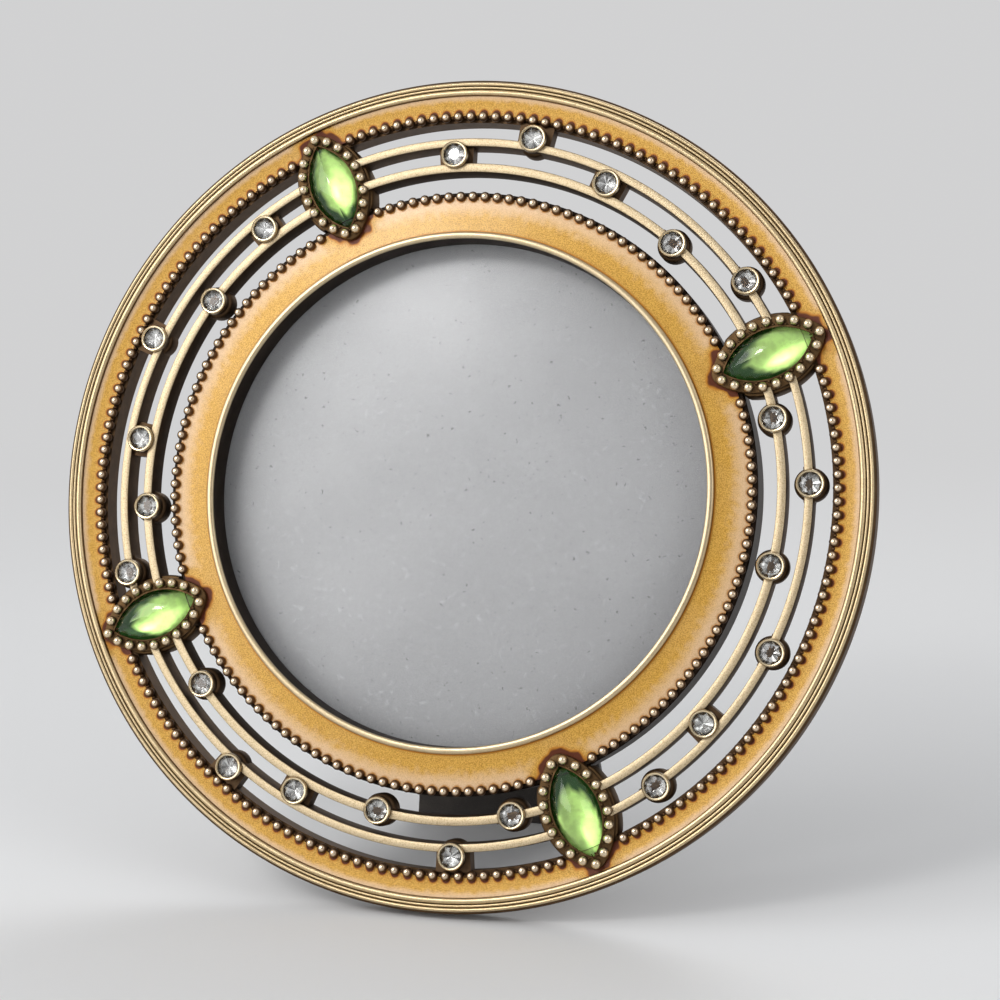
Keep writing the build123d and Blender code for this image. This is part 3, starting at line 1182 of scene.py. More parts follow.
@dataclass(frozen=True)
class FlockFinish:
    """Short dark pile that covers the board and the leg.

    Attributes:
        name: The material's name.
        pile: The colour of the pile.
        worn: The colour where it is rubbed.
        rubbing: Where it is rubbed, as a range of noise and what it becomes.
        fibres: How its fibres catch the light, in the same way.
    """

    name: str = "dark_flock"
    pile: Colour = (0.030, 0.024, 0.020)
    worn: Colour = (0.085, 0.068, 0.055)
    fibre_scale: float = 5200.0
    fibres: Ramp = (0.5, 0.8, 0.0, 0.5)
    rub_scale: float = 70.0
    rubbing: Ramp = (0.45, 0.75, 0.0, 0.7)

    def material(self) -> Material:
        """Makes the material.

        Returns:
            The finished material.
        """
        sheet = MaterialSheet(self.name)
        fibre = sheet.noise(self.fibre_scale)
        rub = sheet.ranged(sheet.noise(self.rub_scale, 4), *self.rubbing)
        lift = sheet.calculated("ADD", rub, sheet.ranged(fibre, *self.fibres))
        sheet.feed(Base_Color=sheet.mixed(lift, self.pile, self.worn))
        sheet.fix(Roughness=0.95, Sheen_Weight=0.35, Sheen_Roughness=0.5)
        sheet.bumped(fibre, strength=0.5, distance=0.00012)
        return sheet.material


# Putting a finished piece in its place


@dataclass(frozen=True)
class Fitter:
    """Sets finished pieces in their place on the frame.

    Attributes:
        stance: How the frame leans.
    """

    stance: Stance

    def fit(
        self,
        piece: Piece,
        name: str,
        materials: Sequence[Material],
        nodes: Sequence[str],
        body: Body = Body.FRAME,
    ) -> None:
        """Names, dresses and places a piece, and lets it stand for its solids.

        Args:
            piece: The piece, drawn on the flat frame in millimetres.
            name: Its name.
            materials: Its materials, in the order of its material slots.
            nodes: The solids that it stands for.
            body: The body that it rides on.
        """
        Bench.clear()
        piece.name = name
        piece.data.name = name
        for index, material in enumerate(materials):
            if index < len(piece.data.materials):
                piece.data.materials[index] = material
            else:
                piece.data.materials.append(material)
        piece.data.transform(self.stance.matrix)
        piece.data.update()
        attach(piece, body.value)
        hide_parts(*nodes)
        LOG.info("%s: %d faces", name, len(piece.data.polygons))


# Rings and enamel


@dataclass(frozen=True)
class Rim:
    """The outer ring: three reeds round the edge and the floor of the outer channel."""

    layout: Layout
    finish: Material
    reed_widths: tuple[float, ...] = (1.15, 0.6, 0.8)
    reed_crests: tuple[float, ...] = (0.0, -0.12, -0.05)
    valley: float = -0.55
    shoulder: float = -1.1
    shoulder_steps: int = 4
    edge_round: float = 0.4
    steps: int = 360

    def section(self) -> list[Point]:
        """Lists the ring's section.

        Returns:
            The section's corners as radius and height.
        """
        size = self.layout
        start = size.channel
        points = [(size.rim_inner, size.floor), (start, size.floor), (start, self.valley)]
        for width, crest in zip(self.reed_widths, self.reed_crests):
            points += reed(start, width, self.valley, crest)[1:]
            start += width
        for step in range(1, self.shoulder_steps + 1):
            turn = math.pi / 2 * step / self.shoulder_steps
            drop = (self.valley - self.shoulder) * math.cos(turn)
            points.append((start + (size.rim - start) * math.sin(turn), self.shoulder + drop))
        points += [
            (size.rim, size.rim_back + self.edge_round),
            (size.rim - self.edge_round, size.rim_back),
            (size.rim_inner + self.edge_round, size.rim_back),
            (size.rim_inner, size.rim_back + self.edge_round),
        ]
        return points

    def build(self, fitter: Fitter) -> None:
        """Makes the ring and puts it on the frame.

        Args:
            fitter: What sets the pieces in their place.
        """
        ring = Bench.smooth(Bench.turned(self.section(), self.steps), Shading.RING)
        fitter.fit(ring, "reeded_rim", [self.finish], ["outer_ring"])


@dataclass(frozen=True)
class WindowRing:
    """The inner ring: the bezel, the floor of its channel and the deep wall of the window."""

    layout: Layout
    finish: Material
    bezel_valley: float = -0.35
    edge_round: float = 0.3
    steps: int = 360

    def section(self) -> list[Point]:
        """Lists the ring's section.

        Returns:
            The section's corners as radius and height.
        """
        size = self.layout
        return [
            (size.window, size.ledge),
            *reed(size.window, size.bezel - size.window, self.bezel_valley, 0.0),
            (size.bezel, size.floor),
            (size.inner_ring - self.edge_round, size.floor),
            (size.inner_ring, size.floor - self.edge_round),
            (size.inner_ring, size.ring_back + self.edge_round),
            (size.inner_ring - self.edge_round, size.ring_back),
            (size.rebate + self.edge_round, size.ring_back),
            (size.rebate, size.ring_back + self.edge_round),
            (size.rebate, size.ledge),
        ]

    def build(self, fitter: Fitter) -> None:
        """Makes the ring and puts it on the frame.

        Args:
            fitter: What sets the pieces in their place.
        """
        ring = Bench.smooth(Bench.turned(self.section(), self.steps), Shading.RING)
        fitter.fit(ring, "window_ring", [self.finish], ["inner_ring"])


@dataclass(frozen=True)
class BeadRow:
    """A row of beads round one ring, in four runs between the settings.

    Attributes:
        nub_share: The size of the small nubs between the beads, as a share of a bead.
    """

    layout: Layout
    stone: Navette
    finish: Material
    name: str
    radius: float
    pitch: float
    nub_share: float = 0.0
    bead_steps: tuple[int, int] = (12, 8)
    nub_steps: tuple[int, int] = (8, 6)
    sink: float = 0.02
    end_gap: float = 0.15
    fill_share: float = 0.498
    nub_drop: float = 0.5

    def angles(self, index: int) -> list[float]:
        """Lists the angles of the beads in a quarter.

        Args:
            index: The number of the quarter.

        Returns:
            The angles in degrees.
        """
        size = self.layout
        start, end = size.quarter(index)
        nearest = abs(self.radius - size.setting_radius) - size.bead / 2
        clear = self.stone.half_width(nearest, size.collar) + self.end_gap
        gap = math.degrees(math.asin(clear / self.radius))
        span = end - start - 2 * gap
        count = round(math.radians(span) * self.radius / self.pitch)
        return [start + gap + span * (place + 0.5) / count for place in range(count)]

    def build(self, fitter: Fitter) -> None:
        """Makes the row and puts it on the frame.

        Args:
            fitter: What sets the pieces in their place.
        """
        size = self.layout
        bead_radius = size.bead * self.fill_share
        height = -bead_radius - self.sink
        for index, quarter in enumerate(size.quarters):
            angles = self.angles(index)
            places = [around(angle, self.radius, height) for angle in angles]
            row = Bench.repeated(Bench.ball(bead_radius, *self.bead_steps), places)
            if self.nub_share:
                low = height - self.nub_drop
                places = [
                    around((before + after) / 2, self.radius, low)
                    for before, after in zip(angles, angles[1:])
                ]
                nub = Bench.ball(bead_radius * self.nub_share, *self.nub_steps)
                row = Bench.joined([row, Bench.repeated(nub, places)])
            node = f"{self.name}_beads_{quarter}"
            fitter.fit(row, f"{self.name}_row_{quarter}", [self.finish], [node])


@dataclass(frozen=True)
class EnamelBand:
    """A ring of enamel that laps against a ridge and thins out among the beads.

    Attributes:
        ridge: The radius of the ridge that it laps against.
        row: The row of beads that it runs out among.
        milk_and_sheen_from: How far in from its outer edge the milky tone and painted sheen reach,
            in millimetres.
        bead_pool_and_shade: The radius of the dark mark beside each bead, in millimetres: thick
            enamel by the outer beads, painted shade between the inner beads.
        bead_pool_and_shade_shift: How far the middle of that mark lies outwards of the bead.
        bead_pool_and_shade_depth: How dark that mark is.
        ridge_shade_depth: How dark the painted shade line beside the ridge is.
        lap: The height at which it laps against the ridge.
        run_out: The height at which it ends among the beads.
        bow: How late it falls from one to the other, one for evenly.
        bed: How far it reaches below the floor of its channel.
        ridge_shade: Where the painted shade line beside the ridge starts and stops to fade.
        milk_and_sheen_edge: How far in from its outer edge the milky tone and painted sheen are
            full.
        ripple: The fineness, the seed and the strength of the waves in the milky, sheened edge.
        wander: The fineness, the seed and the strength of the waves in a setting's pool.
        pool_edge: Half the width over which the dark mark beside a bead fades.
        pool_fade: How far outside its width a setting's pool has faded.
        pool_glow: How far inside its width it starts to fade.
        pool_least: The least width of the pool round a setting.
        pool_most: The width that its highest waves go by.
        pool_middle: Where between the two it lies without waves, as a share.
        clear_edge: How far from that pool the milky tone and painted sheen start to come back.
        clear_width: How far from that pool they are back in full.
    """

    layout: Layout
    stone: Navette
    finish: Material
    name: str
    ridge: float
    row: BeadRow
    milk_and_sheen_from: float
    bead_pool_and_shade: float
    bead_pool_and_shade_shift: float
    bead_pool_and_shade_depth: float
    ridge_shade_depth: float
    lap: float = -0.85
    run_out: float = -1.3
    bow: float = 1.3
    sag: float = 0.12
    bed: float = 0.1
    ridge_shade: Point = (0.1, 0.55)
    milk_and_sheen_strength: float = 0.8
    milk_and_sheen_edge: float = 0.15
    ripple: tuple[float, float, float] = (0.9, 3.0, 0.45)
    wander: tuple[float, float, float] = (0.55, 11.0, 0.6)
    pool_edge: float = 0.3
    pool_fade: float = 0.15
    pool_glow: float = 1.0
    pool_least: float = 0.45
    pool_most: float = 2.1
    pool_middle: float = 0.5
    clear_edge: float = 0.2
    clear_width: float = 2.4
    rings: int = 14
    steps: int = 1440

    def section(self) -> list[Point]:
        """Lists the band's section, with its top as a sagging curve.

        Returns:
            The section's corners as radius and height.
        """
        edge = self.row.radius
        top = []
        for step in range(self.rings + 1):
            share = step / self.rings
            height = self.lap + (self.run_out - self.lap) * share**self.bow
            height -= self.sag * math.sin(math.pi * share)
            top.append((self.ridge + (edge - self.ridge) * share, height))
        low = self.layout.floor - self.bed
        return [(self.ridge, low), *top, (edge, low)]

    def setting_gap(self, spot: Vector) -> float:
        """Measures how far a place lies from the nearest setting.

        Args:
            spot: The place on the face.

        Returns:
            The gap in millimetres.
        """
        gaps = []
        for angle in self.layout.setting_angles:
            turned = Matrix.Rotation(math.radians(-angle), 2) @ spot
            gaps.append(self.stone.distance(turned.x - self.layout.setting_radius, turned.y))
        return min(gaps) - self.layout.collar

    def shade(self, spot: Vector, bead_gap: float) -> Point:
        """Works out how dark and how milky the enamel is at a place.

        Args:
            spot: The place on the face.
            bead_gap: How far it lies from the middle of the nearest bead's dark mark.

        Returns:
            The darkness of its pools and painted shade, and its milkiness with painted sheen, from
            zero to one.
        """
        outer = max(self.ridge, self.row.radius - self.layout.bead / 2)
        fade = self.milk_and_sheen_from * (1 + waves(spot, *self.ripple))
        # Pale near the outer edge: milky thin enamel and painted sheen.
        milk_and_sheen = falling(outer - spot.length, self.milk_and_sheen_edge, fade) * self.milk_and_sheen_strength
        # A painted shade line where the enamel meets the ridge.
        ridge_shade = falling(spot.length - self.ridge, *self.ridge_shade) * self.ridge_shade_depth
        # Dark marks by the beads: thick enamel by the outer row, painted shade between the inner
        # beads.
        bead = falling(bead_gap, self.bead_pool_and_shade - self.pool_edge, self.bead_pool_and_shade + self.pool_edge)
        gap = self.setting_gap(spot)
        swell = self.pool_middle + waves(spot, *self.wander)
        width = self.pool_least + (self.pool_most - self.pool_least) * swell
        pool = falling(gap, width - self.pool_glow, width + self.pool_fade)
        dark = max(bead * self.bead_pool_and_shade_depth, ridge_shade, pool)
        return dark, milk_and_sheen * (1 - falling(gap - width, self.clear_edge, self.clear_width))

    def shades(self, piece: Piece) -> None:
        """Writes the shade of every point on the piece.

        Args:
            piece: The band, on the flat frame.
        """
        reach = self.row.radius + self.bead_pool_and_shade_shift
        turns = sorted(
            math.remainder(math.radians(angle), 2 * math.pi)
            for index in range(len(self.layout.quarters))
            for angle in self.row.angles(index)
        )
        # Middles of the dark marks by the beads, thick enamel in the outer band and painted shade
        # in the inner one.
        pools = [Vector((reach * math.cos(turn), reach * math.sin(turn))) for turn in turns]
        pool = piece.data.attributes.new("pool", "FLOAT", "POINT")
        milk_and_sheen = piece.data.attributes.new("milk_and_sheen", "FLOAT", "POINT")
        for vertex in piece.data.vertices:
            spot = Vector(vertex.co[:2])
            near = bisect_left(turns, math.atan2(spot.y, spot.x))
            bead_gap = min((pools[step % len(pools)] - spot).length for step in (near - 1, near))
            dark, pale = self.shade(spot, bead_gap)
            pool.data[vertex.index].value = dark
            milk_and_sheen.data[vertex.index].value = pale

    def build(self, fitter: Fitter) -> None:
        """Makes the band and puts it on the frame.

        Args:
            fitter: What sets the pieces in their place.
        """
        band = Bench.turned(self.section(), self.steps)
        self.shades(band)
        Bench.smooth(band, Shading.SOFT)
        node = f"{self.name}_enamel"
        fitter.fit(band, f"{self.name}_enamel_band", [self.finish], [node])


# Openwork, stones and crystals


@dataclass(frozen=True)
class OpenworkBar:
    """One of the two bars of the openwork, in four arcs between the settings."""

    layout: Layout
    stone: Navette
    finish: Material
    name: str
    radius: float
    width: float
    depth: float = 4.4
    face: float = -0.1
    crown: float = 0.03
    corner: float = 0.15
    corner_cut: Point = (0.35, 0.3)
    draft: float = 0.18
    end_lap: float = 0.8

    def section(self) -> list[Point]:
        """Lists the bar's section: a nearly flat face on sides that flare to the back.

        Returns:
            The section's corners as radius and height.
        """
        half = self.width / 2
        low = self.face - self.depth
        shoulder = self.face - self.crown
        across, down = self.corner_cut
        side = [
            (half + self.draft, low),
            (half, shoulder - self.corner),
            (half - self.corner * across, shoulder - self.corner * down),
            (half - self.corner, shoulder),
        ]
        outer = [(self.radius + reach, height) for reach, height in side]
        inner = [(self.radius - reach, height) for reach, height in reversed(side)]
        return [*outer, (self.radius, self.face), *inner]

    def build(self, fitter: Fitter) -> None:
        """Makes the four arcs and puts them on the frame.

        Args:
            fitter: What sets the pieces in their place.
        """
        size = self.layout
        along = self.radius - size.setting_radius
        reach = self.stone.half_width(along, size.collar) - self.end_lap
        gap = math.degrees(math.asin(reach / self.radius))
        arcs = []
        for index in range(len(size.quarters)):
            start, end = size.quarter(index)
            sweep = end - start - 2 * gap
            arcs.append(Bench.turned(self.section(), round(sweep), sweep, start + gap))
        bars = Bench.smooth(Bench.joined(arcs), Shading.SOFT)
        fitter.fit(bars, f"{self.name}_bar_arcs", [self.finish], [f"{self.name}_bars"])


@dataclass(frozen=True)
class JewelSetting:
    """The four navette stones in their beaded settings.

    Attributes:
        play: How far the collar stays inside its solid.
        bore: How far the collar's inside lies from the stone.
        bed: How far it reaches below the foil, and the lip below the face.
        web_round: How far the web's edge is cut, across and down.
        web_lap: How far the web reaches under the collar.
        foil_shares: The sizes of the foil's levels, as shares of the stone.
        fullness: How late the dome rises, one for a round dome.
        lit_sides: The directions on the face in which the four foils carry their painted
            reflections.
    """

    layout: Layout
    stone: Navette
    gilt: Material
    glass: Material
    foil: Material
    depth: float = -5.0
    face: float = -0.3
    edge_round: float = 0.35
    edge_cut: float = 0.3
    play: float = 0.05
    bore: float = 0.03
    bed: float = 0.1
    web_margin: float = 0.6
    web_top: float = -1.0
    web_reach: float = 6.6
    web_lift: float = 0.02
    web_side: float = 0.5
    web_round: Point = (0.25, 0.1)
    web_lap: float = 0.2
    seat: float = -1.25
    foil_sag: float = 0.3
    foil_shares: tuple[float, ...] = (0.03, 0.2, 0.35, 0.48, 0.6, 0.7, 0.79, 0.87, 0.94, 0.99)
    girdle: float = -0.2
    dome: float = 2.6
    dome_steps: int = 12
    fullness: float = 1.7
    top_share: float = 0.02
    stone_margin: float = 0.01
    stone_steps: tuple[int, int] = (40, 4)
    bead_margin: float = 1.3
    bead_count: int = 19
    bead_radius: float = 0.92
    bead_height: float = 0.22
    bead_steps: tuple[int, int] = (16, 10)
    nub_margin: float = 0.5
    nub_radius: float = 0.32
    lip_inner: float = 0.04
    lip_outer: float = 0.32
    lip_height: float = 0.3
    lip_scallop: float = 0.14
    lip_slope: float = 0.05
    lip_steps: tuple[int, int] = (57, 9)
    lit_sides: tuple[Point, ...] = ((0.32, 0.10), (0.25, 0.20), (0.32, -0.10), (0.06, -0.30))
    dark_edge: float = 1.5
    lit_edge: float = 2.15
    lit_ripple: float = 0.5
    ripple_scale: float = 0.6

    def loop(self, margin: float, height: float, reach: float) -> list[Vector]:
        """Lists the outline grown by a margin at one height.

        Args:
            margin: How far the outline is grown.
            height: Its height.
            reach: How far it may run along the stone.

        Returns:
            The outline's points.
        """
        points = self.stone.outline(margin)
        return [Vector((max(-reach, min(reach, x)), y, height)) for x, y in points]

    def collar(self) -> Piece:
        """Makes the collar that the stone sits in and the darker web that carries it.

        Returns:
            The collar and its web as one piece.
        """
        margin = self.layout.collar - self.play
        edge = self.edge_round
        cut = edge * self.edge_cut
        collar = [
            (margin, self.depth),
            (margin, self.face - edge),
            (margin - cut, self.face - cut),
            (margin - edge, self.face),
            (self.bore, self.face),
            (self.bore, self.seat - self.foil_sag - self.bed),
        ]
        wide = margin + self.web_margin
        across, down = self.web_round
        web = [
            (wide, self.depth + self.web_lift),
            (wide, self.web_top - self.web_side),
            (wide - across, self.web_top - down),
            (margin - self.web_lap, self.web_top),
            (margin - self.web_lap, self.depth + self.web_side),
        ]
        parts = [
            Bench.lofted([self.loop(*level, reach) for level in levels])
            for levels, reach in ((collar, math.inf), (web, self.web_reach))
        ]
        return Bench.smooth(Bench.joined(parts), Shading.RAISED)

    def lip(self) -> Piece:
        """Makes the thin scalloped line of metal round the stone.

        Returns:
            The line of metal.
        """
        inner = self.stone.outline(self.lip_inner, *self.lip_steps)
        outer = self.stone.outline(self.lip_outer, *self.lip_steps)
        count = len(inner)
        tops = []
        for place in range(count):
            scallop = abs(math.sin(math.pi * self.bead_count * place / count))
            tops.append(self.face + self.lip_height + self.lip_scallop * scallop)
        low = self.face - self.bed
        loops = [
            [Vector((x, y, low)) for x, y in outer],
            [Vector((x, y, top - self.lip_slope)) for (x, y), top in zip(outer, tops)],
            [Vector((x, y, top)) for (x, y), top in zip(inner, tops)],
            [Vector((x, y, low)) for x, y in inner],
        ]
        return Bench.smooth(Bench.lofted([*loops, loops[0]], capped=False), Shading.SOFT)

    def beads(self) -> Piece:
        """Makes the beads round the stone and the small nubs between them.

        Returns:
            The beads and nubs as one piece.
        """
        rings = []
        for radius, margin, shift, height in (
            (self.bead_radius, self.bead_margin, 0, self.bead_height),
            (self.nub_radius, self.nub_margin, 1, self.face + self.nub_radius / 2),
        ):
            spots = self.stone.spaced(margin, 2 * self.bead_count)[shift::2]
            places = [Matrix.Translation((x, y, height)) for x, y in spots]
            rings.append(Bench.repeated(Bench.ball(radius, *self.bead_steps), places))
        return Bench.joined(rings)

    def cabochon(self, angle: float, lit_side: Point) -> Piece:
        """Makes the stone: a full smooth dome over a sagging foiled back.

        Args:
            angle: The angle of its setting.
            lit_side: The direction on the face in which its foil carries its painted reflection.

        Returns:
            The stone, with its glass and its foil.
        """
        levels = [
            (self.seat - self.foil_sag * math.cos(math.pi / 2 * share), share)
            for share in self.foil_shares
        ]
        levels.append((self.girdle, 1.0))
        for step in range(1, self.dome_steps + 1):
            turn = math.pi / 2 * step / self.dome_steps
            rise = (self.dome - self.girdle) * math.sin(turn) ** self.fullness
            levels.append((self.girdle + rise, max(self.top_share, math.cos(turn))))
        stone = Bench.raised(self.stone.outline(self.stone_margin, *self.stone_steps), levels)
        stone.data.materials.append(self.glass)
        stone.data.materials.append(self.foil)
        for face in stone.data.polygons:
            face.material_index = 1 if face.center.z < self.seat and face.normal.z < 0 else 0
        # The centre value paints the window's reflection in the foil, with painted shade towards
        # the stone's edges.
        centre = stone.data.attributes.new("centre", "FLOAT", "POINT")
        turn = Matrix.Rotation(math.radians(angle), 2)
        for vertex in stone.data.vertices:
            across = turn @ Vector(vertex.co[:2])
            inside = -self.stone.distance(vertex.co.x, vertex.co.y)
            ripple = waves(across, self.ripple_scale, angle, self.lit_ripple)
            lit = inside + Vector(lit_side).dot(across) + ripple
            centre.data[vertex.index].value = 1 - falling(lit, self.dark_edge, self.lit_edge)
        return Bench.smooth(stone, Shading.SOFT)

    def build(self, fitter: Fitter) -> None:
        """Makes the four settings and puts them on the frame.

        Args:
            fitter: What sets the pieces in their place.
        """
        size = self.layout
        for angle, corner, lit_side in zip(size.setting_angles, size.corners, self.lit_sides):
            place = around(angle, size.setting_radius)
            collar = Bench.joined([self.collar(), self.lip()])
            beads = self.beads()
            stone = self.cabochon(angle, lit_side)
            for piece, name, slot, materials, node in (
                (collar, "setting", Slot.GOLD, [self.gilt], "navette_setting"),
                (beads, "beads", Slot.GOLD, [self.gilt], "setting_beads"),
                (stone, "stone", Slot.STONE, [self.glass, self.foil], "navette"),
            ):
                piece.data.transform(place)
                fitter.fit(piece, f"{name}_{corner}", materials, [f"{node}_{corner}"])


@dataclass(frozen=True)
class CrystalSet:
    """The crystals of the openwork in their round cups.

    Attributes:
        play: How far a cup stays inside its solid.
        foot_round: How far the foot's edge is cut, across and down.
        flare: How high the foot flares up to the cup.
        lip: The cup's lip from its outside, as ways across and up from its outer edge.
        inner_lip: The lip's inside, as ways across and up from its inner edge.
        bed: How far the cup's seat lies under the crystal's girdle.
        room: How far its bottom lies under the foil's point.
        loose: How far the crystal stays inside the cup's wall.
        pleat: How deep every second edge of the foil is pressed.
        dull_glint: How much the dullest facet shines, in painted reflection.
        glint_step: How many levels of painted reflection lie between one facet and the next.
        glint_shift: The level of the first facet.
        glint_levels: How many levels there are.
        spin: The turn from one crystal to the next, and from one quarter to the next.
        tilt: The greatest tilt of a crystal, in degrees.
        tilt_step: How fast the tilt changes from one crystal to the next.
        shares: How far each crystal stands from one setting to the next, and its lane.
    """

    layout: Layout
    stone: Navette
    gilt: Material
    glass: Material
    foil: Material
    inner_shift: float = -0.2
    outer_shift: float = 0.3
    slot_gap: float = 0.04
    play: float = 0.05
    rise: float = 0.9
    wall: float = 0.55
    foot: float = 3.05
    foot_top: float = -1.5
    foot_low: float = -4.3
    foot_round: Point = (0.2, 0.3)
    flare: float = 0.25
    lip: tuple[Point, ...] = ((0.0, -0.32), (-0.06, -0.12), (-0.22, 0.0))
    inner_lip: tuple[Point, ...] = ((0.12, -0.04), (0.0, -0.25))
    bed: float = 0.1
    room: float = 0.35
    cup_steps: int = 32
    seat: float = 0.25
    girdle: float = 0.12
    crown: float = 0.6
    table_share: float = 0.55
    loose: float = 0.02
    pavilion: float = 0.55
    foil_gap: float = 0.03
    pleat: float = 0.18
    dull_glint: float = 0.08
    glint_step: int = 5
    glint_shift: int = 2
    glint_levels: int = 7
    facets: int = 8
    foil_facets: int = 16
    web_width: float = 2.6
    web_half: float = 1.0
    web_lap: float = 0.3
    web_lift: float = 0.02
    web_top: float = -1.3
    web_reach: float = 1.9
    web_steps: int = 8
    spin: Point = (37.0, 11.0)
    tilt: float = 3.0
    tilt_step: float = 2.3
    shares: dict[str, tuple[tuple[float, Lane], ...]] = field(
        default_factory=lambda: {
            "top": (
                (0.054, Lane.OUTER_BAR), (0.225, Lane.INNER_BAR), (0.44, Lane.BETWEEN),
                (0.633, Lane.SLOT), (0.811, Lane.BETWEEN),
            ),
            "left": (
                (0.079, Lane.BETWEEN), (0.293, Lane.INNER_BAR), (0.449, Lane.SLOT),
                (0.683, Lane.BETWEEN), (0.853, Lane.INNER_BAR), (0.997, Lane.OUTER_BAR),
            ),
            "bottom": (
                (0.087, Lane.INNER_BAR), (0.279, Lane.SLOT), (0.434, Lane.BETWEEN),
                (0.64, Lane.INNER_BAR), (0.817, Lane.SLOT), (0.971, Lane.INNER_BAR),
            ),
            "right": (
                (0.072, Lane.OUTER_BAR), (0.236, Lane.BETWEEN), (0.446, Lane.OUTER_BAR),
                (0.626, Lane.INNER_BAR), (0.812, Lane.OUTER_BAR), (0.974, Lane.INNER_BAR),
            ),
        }
    )

    def lane_radius(self, lane: Lane) -> float:
        """Finds the radius at which the cups of a lane stand.

        Args:
            lane: The lane.

        Returns:
            The radius in millimetres.
        """
        size = self.layout
        return {
            Lane.INNER_BAR: size.inner_bar + self.inner_shift,
            Lane.BETWEEN: (size.inner_bar + size.outer_bar) / 2,
            Lane.OUTER_BAR: size.outer_bar + self.outer_shift,
            Lane.SLOT: size.rim_inner - size.cup_radius - self.slot_gap,
        }[lane]

    def places(self, index: int) -> list[tuple[float, Lane]]:
        """Lists where the crystals of a quarter stand.

        Args:
            index: The number of the quarter.

        Returns:
            The angle and the lane of each crystal.
        """
        size = self.layout
        start, end = size.quarter(index)
        places = []
        for share, lane in self.shares[size.quarters[index]]:
            reach = self.stone.width / 2 + size.collar + size.cup_radius
            clear = math.degrees(math.asin(reach / self.lane_radius(lane)))
            places.append((start + clear + share * (end - start - 2 * clear), lane))
        return places

    def cup(self) -> Piece:
        """Makes a round cup with a rolled lip on a darker flared foot.

        Returns:
            The cup.
        """
        outer = self.layout.cup_radius - self.play
        inner = outer - self.wall
        cut, drop = self.foot_round
        section = [
            (Bench.axis, self.foot_low),
            (self.foot, self.foot_low),
            (self.foot, self.foot_top - drop),
            (self.foot - cut, self.foot_top),
            (outer, self.foot_top + self.flare),
            *[(outer + across, self.rise + up) for across, up in self.lip],
            *[(inner + across, self.rise + up) for across, up in self.inner_lip],
            (inner, self.seat - self.bed),
            (Bench.axis, self.seat - self.pavilion - self.room),
        ]
        return Bench.smooth(Bench.turned(section, self.cup_steps), Shading.RAISED)

    def web(self, angle: float, lane: Lane) -> Piece:
        """Makes the web that fills the openwork beside a cup.

        Args:
            angle: The angle of the cup in degrees.
            lane: The lane in which it stands.

        Returns:
            The web, in its place on the flat frame.
        """
        size = self.layout
        low, high = {
            Lane.INNER_BAR: (size.inner_bar - self.web_half, size.inner_bar + self.web_half),
            Lane.BETWEEN: (size.inner_bar, size.outer_bar),
            Lane.OUTER_BAR: (size.outer_bar - self.web_half, size.outer_bar + self.web_half),
            Lane.SLOT: (size.outer_bar, size.rim_inner + self.web_lap),
        }[lane]
        middle = (low + high) / 2
        sweep = math.degrees(2 * (self.web_width / 2 + self.web_reach) / middle)
        back = self.foot_low + self.web_lift
        section = [(low, back), (high, back), (high, self.web_top), (low, self.web_top)]
        return Bench.turned(section, self.web_steps, sweep, angle - sweep / 2)

    def crystal(self) -> Piece:
        """Makes a cut crystal: a clear crown over a faceted foiled back.

        Returns:
            The crystal, with its glass and its foil.
        """
        radius = self.layout.cup_radius - self.play - self.wall - self.loose
        girdle = []
        for side in range(self.facets):
            turn = 2 * math.pi * (side + 0.5) / self.facets
            girdle.append((radius * math.cos(turn), radius * math.sin(turn)))
        heights = (self.seat, self.seat + self.girdle, self.seat + self.crown)
        crown = Bench.raised(girdle, list(zip(heights, (1.0, 1.0, self.table_share))))
        Bench.clear()
        bpy.ops.mesh.primitive_cone_add(
            vertices=self.foil_facets,
            radius1=radius,
            radius2=0,
            depth=self.pavilion,
            end_fill_type="NOTHING",
            location=(0, 0, self.seat - self.pavilion / 2 - self.foil_gap),
            rotation=(math.pi, 0, 0),
        )
        back = bpy.context.object
        bpy.ops.object.transform_apply(location=True, rotation=True, scale=True)
        for vertex in back.data.vertices:
            side = round(math.atan2(vertex.co.y, vertex.co.x) / (2 * math.pi) * self.foil_facets)
            if side % 2 and vertex.co.xy.length > radius / 2:
                vertex.co.z -= self.pleat
        # Each facet's value is a painted reflection: a fixed brightness for what it would mirror.
        for piece in (crown, back):
            painted_glint = piece.data.attributes.new("painted_glint", "FLOAT", "FACE")
            for face in piece.data.polygons:
                level = (face.index * self.glint_step + self.glint_shift) % self.glint_levels
                share = (1 - self.dull_glint) * level / (self.glint_levels - 1)
                painted_glint.data[face.index].value = self.dull_glint + share
        crown.data.materials.append(self.glass)
        back.data.materials.append(self.foil)
        return Bench.joined([crown, back])

    def build(self, fitter: Fitter) -> None:
        """Makes the crystals and their cups and puts them on the frame.

        Args:
            fitter: What sets the pieces in their place.
        """
        for index, quarter in enumerate(self.layout.quarters):
            spots = self.places(index)
            places = [around(angle, self.lane_radius(lane)) for angle, lane in spots]
            cups = Bench.repeated(self.cup(), places)
            webs = [self.web(angle, lane) for angle, lane in spots]
            cups = Bench.joined([cups, *webs])
            turned = []
            for number, place in enumerate(places):
                spin = around(self.spin[0] * number + self.spin[1] * index)
                tilt = self.tilt * math.sin(self.tilt_step * number + index)
                turned.append(place @ spin @ Matrix.Rotation(math.radians(tilt), 4, "X"))
            crystals = Bench.repeated(self.crystal(), turned)
            for piece, name, slot, materials, node in (
                (cups, "cups", Slot.GOLD, [self.gilt], "crystal_cups"),
                (crystals, "cut_crystals", Slot.CRYSTAL, [self.glass, self.foil], "crystals"),
            ):
                fitter.fit(piece, f"{name}_{quarter}", materials, [f"{node}_{quarter}"])


# The window, the board, the leg and the buttons behind the face


